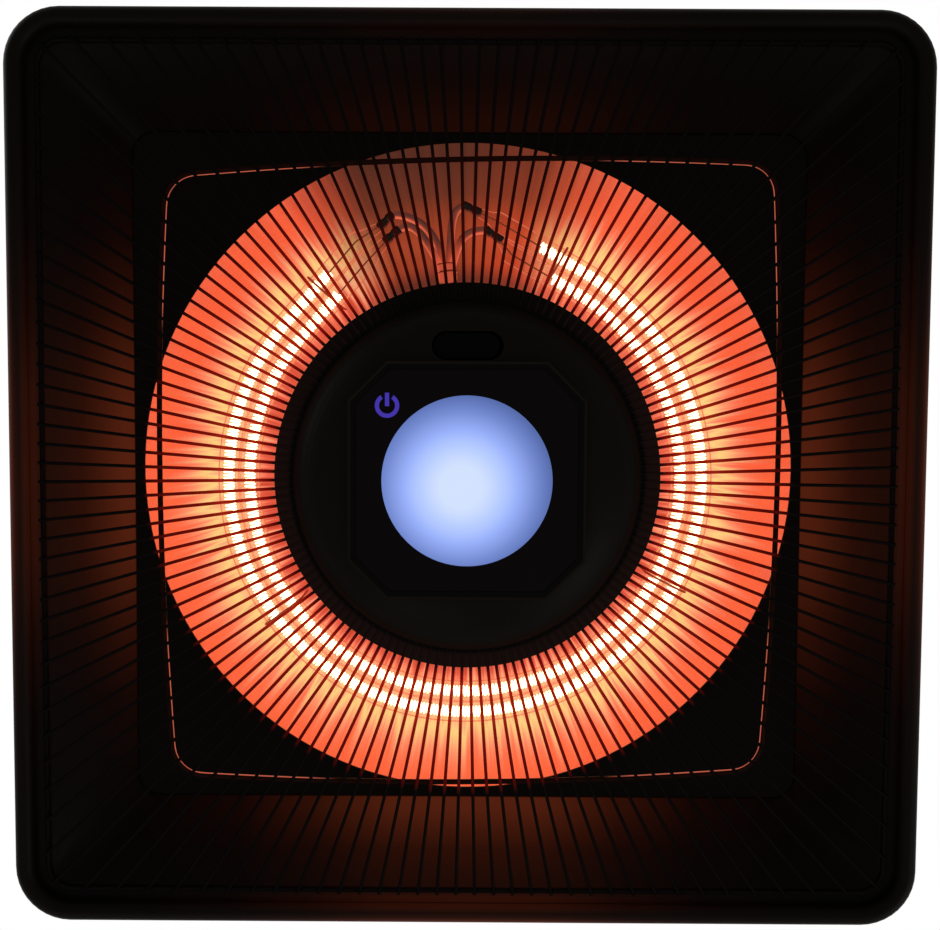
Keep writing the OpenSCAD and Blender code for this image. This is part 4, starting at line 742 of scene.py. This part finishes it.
def lathe(name, profile, steps):
    """A piece spun from a profile of (radius, height) round the hub's axis."""
    middle = at(0, 0, 0)
    piece = trace(name, [middle + Vector((r, 0, h)) for r, h in profile])
    bpy.ops.mesh.select_all(action="SELECT")
    bpy.ops.mesh.spin(steps=steps, angle=2 * math.pi, center=middle, axis=(0, 0, 1))
    bpy.ops.mesh.select_all(action="SELECT")
    bpy.ops.mesh.remove_doubles(threshold=1e-6)
    bpy.ops.mesh.normals_make_consistent(inside=False)
    return piece


def object_mode(piece):
    if bpy.context.mode != "OBJECT":
        bpy.ops.object.mode_set(mode="OBJECT")
    bpy.ops.object.select_all(action="DESELECT")
    piece.select_set(True)
    bpy.context.view_layer.objects.active = piece


def thicken(piece, sheet, side=-1.0):
    object_mode(piece)
    bpy.ops.object.modifier_add(type="SOLIDIFY")
    solid = piece.modifiers[-1]
    solid.thickness, solid.offset, solid.use_even_offset = sheet, side, True
    bpy.ops.object.modifier_apply(modifier=solid.name)


def smooth(piece, angle=35.0):
    object_mode(piece)
    bpy.ops.object.shade_smooth_by_angle(angle=math.radians(angle))


def rod(name, points, radius, closed=False, sides=12, ends=None):
    """A round bar along a chain of points. ends gives the last points' share of the radius, from the tip inwards."""
    piece = trace(name, points, closed)
    object_mode(piece)
    bpy.ops.object.convert(target="CURVE")
    piece = bpy.context.object
    line = piece.data
    line.bevel_depth, line.bevel_resolution, line.use_fill_caps = radius, sides // 2 - 2, not closed
    for spline in line.splines:
        for i, share in enumerate(ends or ()):
            spline.points[i].radius = share
            spline.points[-1 - i].radius = share
    bpy.ops.object.convert(target="MESH")
    piece = bpy.context.object
    piece.name = piece.data.name = name
    smooth(piece, 50.0)
    return piece


def join(name, pieces):
    object_mode(pieces[0])
    for piece in pieces[1:]:
        piece.select_set(True)
    bpy.ops.object.join()
    piece = bpy.context.object
    piece.name = piece.data.name = name
    return piece


def dress(piece, finish, body, *nodes):
    """Gives a piece its finish and its body, and puts it in the place of CAD nodes."""
    object_mode(piece)
    piece.data.materials.clear()
    piece.data.materials.append(FINISHES[finish].material)
    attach(piece, body)
    if nodes:
        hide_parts(*nodes)


def arc(cx, cy, radius, start, end, steps):
    """Points on an arc in a profile, angles in degrees."""
    return [
        (cx + radius * math.cos(math.radians(start + (end - start) * i / steps)),
         cy + radius * math.sin(math.radians(start + (end - start) * i / steps)))
        for i in range(steps + 1)
    ]


def eased(line, index, radius, steps=3):
    """A profile line with the corner at index rounded."""
    a, b, c = (Vector(p) for p in line[index - 1:index + 2])
    u, v = (a - b).normalized(), (c - b).normalized()
    half = u.angle(v) / 2
    reach = radius / math.tan(half)
    centre = b + (u + v).normalized() * (radius / math.sin(half))
    p, q = b + u * reach - centre, b + v * reach - centre
    turn = p.angle_signed(q)
    made = []
    for i in range(steps + 1):
        cos, sin = math.cos(-turn * i / steps), math.sin(-turn * i / steps)
        made.append((centre.x + p.x * cos - p.y * sin, centre.y + p.x * sin + p.y * cos))
    return line[:index] + made + line[index + 1:]


CORNER_GAIN = 0.04  # the skirt's corners grow wider by this share of the way in


def shade_line(sizes):
    """The inside of the shade's sheet from the rolled edge up to the flat top, as (half width, height)."""
    roll = sizes.roll
    outer = roll + sizes.sheet
    line = arc(sizes.half - outer, outer, roll, -205, 90, 20)
    foot = len(line)
    line += [
        (sizes.half - sizes.gutter, outer + roll + 0.1 * MM), (SEAT_HALF + 0.3 * MM, BAFFLE_TOP),
        (sizes.top, SHADE_H - sizes.sheet - 0.1 * MM), (sizes.top - 20 * MM, SHADE_H - sizes.sheet - 0.05 * MM),
    ]
    line = eased(line, len(line) - 2, 4 * sizes.bend, 5)
    return eased(line, foot, sizes.bend)


class HEATER_OT_shade(bpy.types.Operator):
    """Presses the square shade from one sheet, with its rolled edge, gutter and sloping skirt"""

    bl_idname = "heater.shade"
    bl_label = "Shade"

    def execute(self, context):
        sizes = context.scene.heater_shade
        core = sizes.half - sizes.corner
        foot = sizes.half - sizes.gutter

        def corner(half):
            return half - core if half >= foot else foot - core + (foot - half) * CORNER_GAIN

        def outline(half, height):
            """Tests whether a vertex lies on the rounded square of that half width at that height."""
            reach = corner(half)
            middle = half - reach

            def lies(v):
                x, y = abs(v.co.x), abs(v.co.y)
                edge = math.hypot(x - middle, y - middle) - reach if min(x, y) > middle else max(x, y) - half
                return abs(v.co.z - RIM - height) < NEAR and abs(edge) < NEAR

            return lies

        piece = begin("shade_sheet")
        bpy.ops.mesh.delete(type="VERT")
        loops = []
        for half, height in shade_line(sizes):
            bpy.ops.mesh.select_all(action="DESELECT")
            bpy.ops.mesh.primitive_plane_add(size=2 * half, location=at(0, 0, height))
            bpy.ops.mesh.bevel(offset=corner(half), segments=10, affect="VERTICES", offset_type="OFFSET")
            bpy.ops.mesh.delete(type="ONLY_FACE")
            loops.append(outline(half, height))
        bpy.ops.mesh.select_all(action="DESELECT")
        bpy.ops.mesh.primitive_circle_add(vertices=44, radius=sizes.hole, location=at(0, 0, SHADE_H - sizes.sheet))
        loops.append(lambda v: abs(v.co.xy.length - sizes.hole) < NEAR)
        for a, b in zip(loops, loops[1:]):
            pick("edges", lambda e: any(lies(e.verts[0]) and lies(e.verts[1]) for lies in (a, b)))
            bpy.ops.mesh.bridge_edge_loops()
        bpy.ops.mesh.select_all(action="SELECT")
        bpy.ops.mesh.normals_make_consistent(inside=False)
        thicken(piece, sizes.sheet, 1.0)
        smooth(piece, 32.0)
        dress(piece, "black_enamel", "heater", "shade")
        finish_nodes("baffle_plate", "baffle_brackets", finish="dull_enamel")
        return {"FINISHED"}


LIP = 3.2 * MM  # flat edge round the reflector's mouth
EAR_REACH = 13.3 * MM
EAR_HALF_ANGLE = 2.4  # degrees


class HEATER_OT_reflector(bpy.types.Operator):
    """Spins the ring-shaped trough that throws the tubes' heat down"""

    bl_idname = "heater.reflector"
    bl_label = "Reflector"

    def execute(self, context):
        sizes = context.scene.heater_reflector
        ring = context.scene.heater_tube.ring
        outer, inner = sizes.mouth - ring, ring - sizes.inner
        profile = [(sizes.mouth + LIP, BAFFLE_TOP)]
        half_steps = 30
        for i in range(half_steps, -half_steps - 1, -1):
            u = i / half_steps
            profile.append((ring + u * (outer if u > 0 else inner), BAFFLE_TOP + sizes.depth * (1 - u * u)))
        profile.append((sizes.inner, -4 * MM))
        piece = lathe("reflector_trough", profile, sizes.steps)
        # Ears that sit on the baffle plate's studs
        edge = sizes.mouth + 3 * MM
        narrow = math.cos(math.radians(EAR_HALF_ANGLE))

        def at_ear(v, away):
            """Tests whether a vertex of the lip's edge lies within an ear's width."""
            return v.co.xy.length > edge and v.co.xy.normalized().dot(away.xy) > narrow

        for quarter in range(4):
            turn = math.radians(45 + 90 * quarter)
            away = Vector((math.cos(turn), math.sin(turn), 0))
            pick("edges", lambda e: all(at_ear(v, away) for v in e.verts))
            bpy.ops.mesh.extrude_edges_move(TRANSFORM_OT_translate={"value": away * EAR_REACH})
        bpy.ops.mesh.select_all(action="SELECT")
        bpy.ops.mesh.normals_make_consistent(inside=False)
        # The sheet's thickness goes down from this surface, so its faces look down
        crown = max(bmesh.from_edit_mesh(piece.data).faces, key=lambda f: f.calc_center_median().z)
        if crown.normal.z > 0:
            bpy.ops.mesh.flip_normals()
        thicken(piece, sizes.sheet, -1.0)
        smooth(piece, 30.0)
        dress(piece, "spun_aluminium", "heater", "reflector")
        finish_nodes("reflector_nuts", "heat_shield", "shield_posts", "shield_screws", "thermal_cutout")
        return {"FINISHED"}


RIGHT_TURN, LEFT_TURN = -60.0, 221.0  # the ends of the tubes' arc, in degrees
SPREAD = 5.3 * MM  # from the ring to each tube's middle line
SEAL = 10.5 * MM  # each tube's end that is drawn in
COIL_R = 2.5 * MM
LEAD_IN_R = 0.4 * MM
WEB_R = 0.9 * MM
CAP_R = 2.4 * MM
SLEEVE_R = 1.95 * MM

# Straight runs beyond the arc, to the right and to the left: of the tube, then of its filament
ENDS = {
    "outer": (60.9 * MM, 63.5 * MM, 26 * MM, 33 * MM),
    "inner": (47 * MM, 60 * MM, 13 * MM, 28.5 * MM),
}


def tube_line(radius, right, left):
    """The line of a tube or a filament: an arc of the ring with a straight run at each end."""
    a, b = math.radians(RIGHT_TURN), math.radians(LEFT_TURN)

    def on_ring(angle):
        return at(radius * math.cos(angle), radius * math.sin(angle), TUBE_H) + RING_SHIFT

    start, end = on_ring(a), on_ring(b)
    out_right, out_left = Vector((math.sin(a), -math.cos(a), 0)), Vector((-math.sin(b), math.cos(b), 0))
    line = [start + out_right * right]
    if right > 12 * MM:
        line.append(start + out_right * right * 0.4)
    steps = 140
    line += [on_ring(a + (b - a) * i / steps) for i in range(steps + 1)]
    if left > 12 * MM:
        line.append(end + out_left * left * 0.4)
    return line + [end + out_left * left]


# Middle of each crimp cap beside the tubes' ends, in millimetres, and the way it points
CAPS = {
    ("outer", "right"): ((1.2, -128.5), 204.0),
    ("inner", "right"): ((12.3, -115.9), 214.0),
    ("outer", "left"): ((-41.5, -122.5), 317.0),
    ("inner", "left"): ((-38.5, -115.4), 319.0),
}
# A cap's radius changes at these distances from its middle, in millimetres, from the tip inwards
CAP_STEPS = (5.2, 4.8, 4.2, 1.2, 0.9)
CAP_SHARES = (0.78, 0.94, 1.0, 1.0, 0.84)
CAP_HALF = CAP_STEPS[0]

# Each lead's way from its cap to the ferrule at the hub, in millimetres
LEADS = {
    ("outer", "right"): (
        (-3.8, -129.5), (-5.8, -128.2), (-7.5, -125.7), (-8.5, -122.0), (-9.1, -116.4), (-9.4, -109.4), (-9.4, -102.8),
        (-9.2, -96.3), (-8.4, -88.0)),
    ("inner", "right"): (
        (7.8, -118.2), (4.3, -117.9), (0.8, -117.0), (-2.3, -114.9), (-4.6, -111.6), (-6.3, -107.4), (-7.8, -102.3),
        (-8.9, -96.8), (-8.5, -88.0)),
    ("outer", "left"): (
        (-38.1, -125.3), (-35.4, -125.5), (-30.4, -124.5), (-24.9, -122.0), (-20.4, -118.2), (-16.8, -112.9),
        (-14.6, -107.4), (-13.5, -101.3), (-13.1, -96.3), (-12.4, -88.0)),
    ("inner", "left"): (
        (-34.5, -118.8), (-31.4, -119.8), (-28.4, -119.3), (-24.9, -116.7), (-21.4, -112.1), (-18.3, -107.4),
        (-15.8, -102.3), (-13.9, -96.8), (-12.5, -88.0)),
}


def cap_point(key, reach):
    """A point on a cap's axis, so many millimetres from its middle and away from the tube."""
    (x, y), heading = CAPS[key]
    turn = math.radians(heading)
    return at((x + reach * math.cos(turn)) * MM, (y + reach * math.sin(turn)) * MM, TUBE_H)


def flowing(points, steps=5):
    """A smooth line through points."""
    line = [points[0] * 2 - points[1], *points, points[-1] * 2 - points[-2]]
    made = []
    for a, b, c, d in zip(line, line[1:], line[2:], line[3:]):
        for i in range(steps):
            t = i / steps
            cubic = (3 * b - a - 3 * c + d) * t ** 3
            made.append(0.5 * (2 * b + (c - a) * t + (2 * a - 5 * b + 4 * c - d) * t * t + cubic))
    return made + [points[-1]]


def coil(name, line, pitch, wire_r):
    """A wire coil wound straight, then laid along the line."""
    length = sum((b - a).length for a, b in zip(line, line[1:]))
    guide = trace(name + "_guide", line)
    object_mode(guide)
    bpy.ops.object.convert(target="CURVE")
    guide = bpy.context.object
    guide.data.use_stretch = False
    bpy.ops.object.select_all(action="DESELECT")
    facets, turn_steps = 5, 9
    bpy.ops.mesh.primitive_circle_add(
        vertices=facets, radius=wire_r, rotation=(math.pi / 2, 0, 0), location=(0, 0, COIL_R)
    )
    piece = bpy.context.object
    bpy.ops.object.transform_apply(location=True, rotation=True, scale=True)
    bpy.ops.object.modifier_add(type="SCREW")
    screw = piece.modifiers[-1]
    screw.axis, screw.screw_offset, screw.iterations = "X", pitch, int(length / pitch)
    screw.steps, screw.render_steps, screw.use_merge_vertices = turn_steps, turn_steps, True
    bpy.ops.object.modifier_apply(modifier=screw.name)
    bpy.ops.object.modifier_add(type="CURVE")
    bend = piece.modifiers[-1]
    bend.object, bend.deform_axis = guide, "POS_X"
    bpy.ops.object.modifier_apply(modifier=bend.name)
    bpy.data.objects.remove(guide)
    piece.name = piece.data.name = name
    # Both ends of the wire are closed, and all faces look outwards
    bpy.ops.object.mode_set(mode="EDIT")
    bpy.ops.mesh.select_all(action="SELECT")
    bpy.ops.mesh.fill_holes(sides=facets)
    bpy.ops.mesh.select_all(action="SELECT")
    bpy.ops.mesh.normals_make_consistent(inside=False)
    bpy.ops.object.mode_set(mode="OBJECT")
    smooth(piece, 60.0)
    return piece


class HEATER_OT_tubes(bpy.types.Operator):
    """Bends the twin quartz tubes and winds their two filaments"""

    bl_idname = "heater.tubes"
    bl_label = "Heating tubes"

    def execute(self, context):
        tube = context.scene.heater_tube
        glass = []
        for side, spread in (("outer", SPREAD), ("inner", -SPREAD)):
            radius = tube.ring + spread
            right, left, hot_right, hot_left = ENDS[side]
            # Each end is drawn in to a narrow seal, which bends into its crimp cap
            body = tube_line(radius, right - SEAL, left - SEAL)
            seals = []
            for end, root in (("right", body[0]), ("left", body[-1])):
                tip = cap_point((side, end), 1.2 - CAP_HALF)
                seals.append([tip.lerp(root, t) for t in (0.0, 0.08, 0.18, 0.36, 0.62, 0.82)])
            whole = seals[0] + body + seals[1][::-1]
            narrowing = (0.40, 0.46, 0.52, 0.55, 0.66, 0.92, 1.0)
            glass.append(rod("quartz_" + side, whole, tube.radius, sides=20, ends=narrowing))
            hot = coil("filament_coil_" + side, tube_line(radius, hot_right, hot_left), tube.pitch, tube.wire)
            dress(hot, "filament", "heater", "filament_" + side)
            leads = []
            short = tube_line(radius, hot_right - 1 * MM, hot_left - 1 * MM)
            for end, neck, root in (("right", body[0], short[0]), ("left", body[-1], short[-1])):
                leads.append(rod("lead_in", [cap_point((side, end), -2), neck, root], LEAD_IN_R, sides=10))
            dress(join("lead_in_wires_" + side, leads), "lead_wire", "heater")
        # The web between the two tubes
        right, left = (run - 12 * MM for run in ENDS["inner"][:2])
        glass.append(rod("web", tube_line(tube.ring, right, left), WEB_R, sides=8))
        dress(join("quartz_tubes", glass), "quartz", "heater", "quartz_tube")
        finish_nodes("tube_clips", finish="clip_wire")
        return {"FINISHED"}


class HEATER_OT_leads(bpy.types.Operator):
    """Crimps the caps on the tubes' ends and lays the sleeved leads into the ferrule at the hub"""

    bl_idname = "heater.leads"
    bl_label = "Caps and leads"

    def execute(self, context):
        caps, sleeves = [], []
        for key, route in LEADS.items():
            line = [cap_point(key, reach) for reach in (*(-step for step in CAP_STEPS), *reversed(CAP_STEPS))]
            caps.append(rod("crimp_cap", line, CAP_R, sides=24, ends=CAP_SHARES))
            # The leads of the outer tube come to lie on those of the inner one
            rise = SLEEVE_R if key[0] == "outer" else -SLEEVE_R
            points = [cap_point(key, CAP_HALF - 1.5)]
            for i, (x, y) in enumerate(route):
                ease = min(1.0, max(0.0, (i - 0.5) / 5.0))
                points.append(at(x * MM, y * MM, TUBE_H + rise * ease * ease * (3 - 2 * ease)))
            sleeves.append(rod("sleeve", flowing(points), SLEEVE_R, sides=16))
        dress(join("crimp_caps", caps), "cap_steel", "heater", "tube_caps")
        dress(join("insulating_sleeves", sleeves), "glass_fibre", "heater", "lead_sleeves")
        finish_nodes("lead_grommet")
        return {"FINISHED"}


# How far the hand-bent support ring's corners lie off the square, in millimetres:
# left and right on the main switch's side, then left and right on the other side
CORNER_MOVES = ((0.4, 2.6), (0.8, -4.2), (2.4, 2.2), (-1.4, -1.2))


class HEATER_OT_guard(bpy.types.Operator):
    """Bends the square support ring and finishes the guard's radial wires and round rings"""

    bl_idname = "heater.guard"
    bl_label = "Guard"

    def execute(self, context):
        finish_nodes("guard_wires", "guard_outer_ring", "guard_hub_ring")
        sizes = context.scene.heater_guard
        middle_h = (low("guard_support_ring", 2) + high("guard_support_ring", 2)) / 2 - RIM
        reach = (sizes.bow - sizes.corner) * math.sqrt(2)
        meet = 45 - math.degrees(math.asin((sizes.bow - sizes.half) / reach))
        off = (sizes.bow - sizes.corner) * math.sin(math.radians(meet))
        quarter = arc(sizes.half - sizes.bow, 0, sizes.bow, -meet, meet, 18)
        quarter += arc(off, off, sizes.corner, meet, 90 - meet, 10)[1:-1]
        points = []
        for k in range(4):
            turn = Matrix.Rotation(math.radians(90 * k), 2)
            points += [turn @ Vector(p) for p in quarter]
        line = []
        for p in points:
            u, v = 0.5 + p.x / sizes.half / 2, 0.5 + p.y / sizes.half / 2
            aside = Vector((0, 0))
            for share, move in zip(((1 - u) * (1 - v), u * (1 - v), (1 - u) * v, u * v), CORNER_MOVES):
                aside += share * Vector(move) * MM
            line.append(at(p.x + aside.x, p.y + aside.y, middle_h))
        ring = rod("support_ring", line, sizes.wire, closed=True, sides=16)
        dress(ring, "ring_enamel", "heater", "guard_support_ring")
        return {"FINISHED"}


class HEATER_OT_hub(bpy.types.Operator):
    """Finishes the hub: pan, domed cover, control panel, lamp and touch key"""

    bl_idname = "heater.hub"
    bl_label = "Hub"

    def execute(self, context):
        finish_nodes("panel_frame", finish="border_plastic")
        finish_nodes("hub_pan", finish="hub_plastic")
        finish_nodes(
            "hub_cover", "hub_screws", "panel_glass", "lamp_lens", "lamp_board", "lamp_chips", "power_symbol",
            "touch_board", "control_board", "relay", "hub_column", "column_screws",
        )
        return {"FINISHED"}


class HEATER_OT_switch(bpy.types.Operator):
    """Finishes the main switch in its slot"""

    bl_idname = "heater.switch"
    bl_label = "Main switch"

    def execute(self, context):
        finish_nodes("rocker_housing", "rocker_paddle", finish="switch_plastic")
        finish_nodes("rocker_terminals")
        return {"FINISHED"}


class HEATER_OT_cap(bpy.types.Operator):
    """Finishes the top cap, its cable gland and the chassis under it"""

    bl_idname = "heater.cap"
    bl_label = "Top cap"

    def execute(self, context):
        finish_nodes(
            "top_cap", "cap_gasket", "cap_screws", "gland_body", "gland_nut", "gland_locknut", "gland_seal",
            "chassis_plate", "chassis_screws", "terminal_block", "lamp_driver",
        )
        return {"FINISHED"}


class HEATER_OT_suspension(bpy.types.Operator):
    """Finishes the ceiling plate, the eyes and the snap link"""

    bl_idname = "heater.suspension"
    bl_label = "Suspension"

    def execute(self, context):
        finish_nodes(
            "ceiling_plate", "ceiling_eye", "eye_locknut", "snap_link", "gate_pin", "gate_spring", "snap_gate",
            "heater_eye", "eye_washer", "eye_nut",
        )
        return {"FINISHED"}


FLOOR_Z = -2.4
# The photograph's camera, fitted to the rim, the baffle plate's opening, the hub and the lens
PHOTO_WIDTH, FOCAL = 940, 1374.1  # pixels
SENSOR = 36.0
CAMERA_AT = at(2.9 * MM, -45.8 * MM, -0.6317)
CAMERA_TILTS = (("Z", 0.323), ("Y", 0.156), ("X", 3.713))  # degrees


class HEATER_OT_stage(bpy.types.Operator):
    """Sets up the floor, the studio light and the camera under the heater"""

    bl_idname = "heater.stage"
    bl_label = "Stage"

    def execute(self, context):
        scene = context.scene
        scene.view_settings.view_transform = "Standard"

        bpy.ops.object.select_all(action="DESELECT")
        bpy.ops.mesh.primitive_plane_add(size=40.0, location=(0, 0, FLOOR_Z))
        floor = context.object
        floor.name = "floor"
        pale = Finish("pale_floor")
        pale.paint(pale.noise(3.0, 2.0), (0.78, 0.78, 0.77), (0.82, 0.82, 0.81), 0.9, 0.05)
        floor.data.materials.append(pale.material)

        # White where the camera sees it, also by reflection or through glass, and dimmer as a light
        scene.world = bpy.data.worlds.new("studio")
        sky = Nodes(scene.world)
        back = sky.tree.nodes["Background"]
        rays = {ray.socket.name: ray for ray in sky.outputs(sky.node("ShaderNodeLightPath"))}
        seen = rays["Is Camera Ray"].by("MAXIMUM", rays["Is Glossy Ray"]).by("MAXIMUM", rays["Is Transmission Ray"])
        sky.feed(back.inputs["Color"], (1, 1, 1))
        strength = sky.node("ShaderNodeMapRange", None, {"Value": seen, "To Min": 0.55, "To Max": 1.0})
        sky.feed(back.inputs["Strength"], strength)

        for name, place, size, power in (
            ("key_light", (1.7, 1.5, -1.5), 1.2, 16.0),
            ("fill_light", (-2.2, -1.0, 0.4), 1.6, 22.0),
            ("low_light", (-0.8, 1.9, -1.9), 1.2, 8.0),
        ):
            bpy.ops.object.light_add(type="AREA", location=place)
            lamp = context.object
            lamp.name = lamp.data.name = name
            lamp.data.size, lamp.data.energy = size, power
            aim = Vector((0, 0, -0.2)) - Vector(place)
            lamp.rotation_euler = aim.to_track_quat("-Z", "Y").to_euler()

        # The camera hangs under the hub and looks up, tilted a few degrees
        tilt = Matrix.Identity(3)
        for axis, degrees in CAMERA_TILTS:
            tilt = tilt @ Matrix.Rotation(math.radians(degrees), 3, axis)
        tilt.transpose()
        right, up, ahead = tilt @ Vector((1, 0, 0)), tilt @ Vector((0, -1, 0)), tilt @ Vector((0, 0, 1))
        bpy.ops.object.camera_add()
        camera = context.object
        camera.name = camera.data.name = "camera"
        turn = Matrix((right, up, -ahead)).transposed().to_4x4()
        camera.matrix_world = Matrix.Translation(CAMERA_AT) @ turn
        camera.data.sensor_width = SENSOR
        camera.data.lens = SENSOR * FOCAL / PHOTO_WIDTH
        camera.data.clip_start, camera.data.clip_end = 0.01, 100.0
        scene.camera = camera
        return {"FINISHED"}


GROUPS = {
    "heater_shade": ShadeSizes,
    "heater_reflector": ReflectorSizes,
    "heater_tube": TubeSizes,
    "heater_guard": GuardSizes,
    "heater_colours": HeaterColours,
}

OPERATORS = (
    HEATER_OT_shade,
    HEATER_OT_reflector,
    HEATER_OT_tubes,
    HEATER_OT_leads,
    HEATER_OT_guard,
    HEATER_OT_hub,
    HEATER_OT_switch,
    HEATER_OT_cap,
    HEATER_OT_suspension,
    HEATER_OT_stage,
)


class HEATER_PT_panel(bpy.types.Panel):
    """Lists the heater's pieces, sizes and colours"""

    bl_idname = "HEATER_PT_panel"
    bl_label = "Patio Heater"
    bl_space_type = "VIEW_3D"
    bl_region_type = "UI"
    bl_category = "Patio Heater"

    def draw(self, context):
        layout = self.layout
        for name, group in GROUPS.items():
            box = layout.box()
            values = getattr(context.scene, name)
            for key in group.__annotations__:
                box.prop(values, key)
        for operator in OPERATORS:
            layout.operator(operator.bl_idname)


CLASSES = (*GROUPS.values(), *OPERATORS, HEATER_PT_panel)


def register():
    for item in CLASSES:
        bpy.utils.register_class(item)
    for name, group in GROUPS.items():
        setattr(bpy.types.Scene, name, PointerProperty(type=group))


def unregister():
    for name in GROUPS:
        delattr(bpy.types.Scene, name)
    for item in reversed(CLASSES):
        bpy.utils.unregister_class(item)


def main():
    register()
    FINISHES.update(make_finishes(bpy.context.scene.heater_colours))
    for operator in OPERATORS:
        family, name = operator.bl_idname.split(".")
        getattr(getattr(bpy.ops, family), name)()


if __name__ == "__main__":
    main()
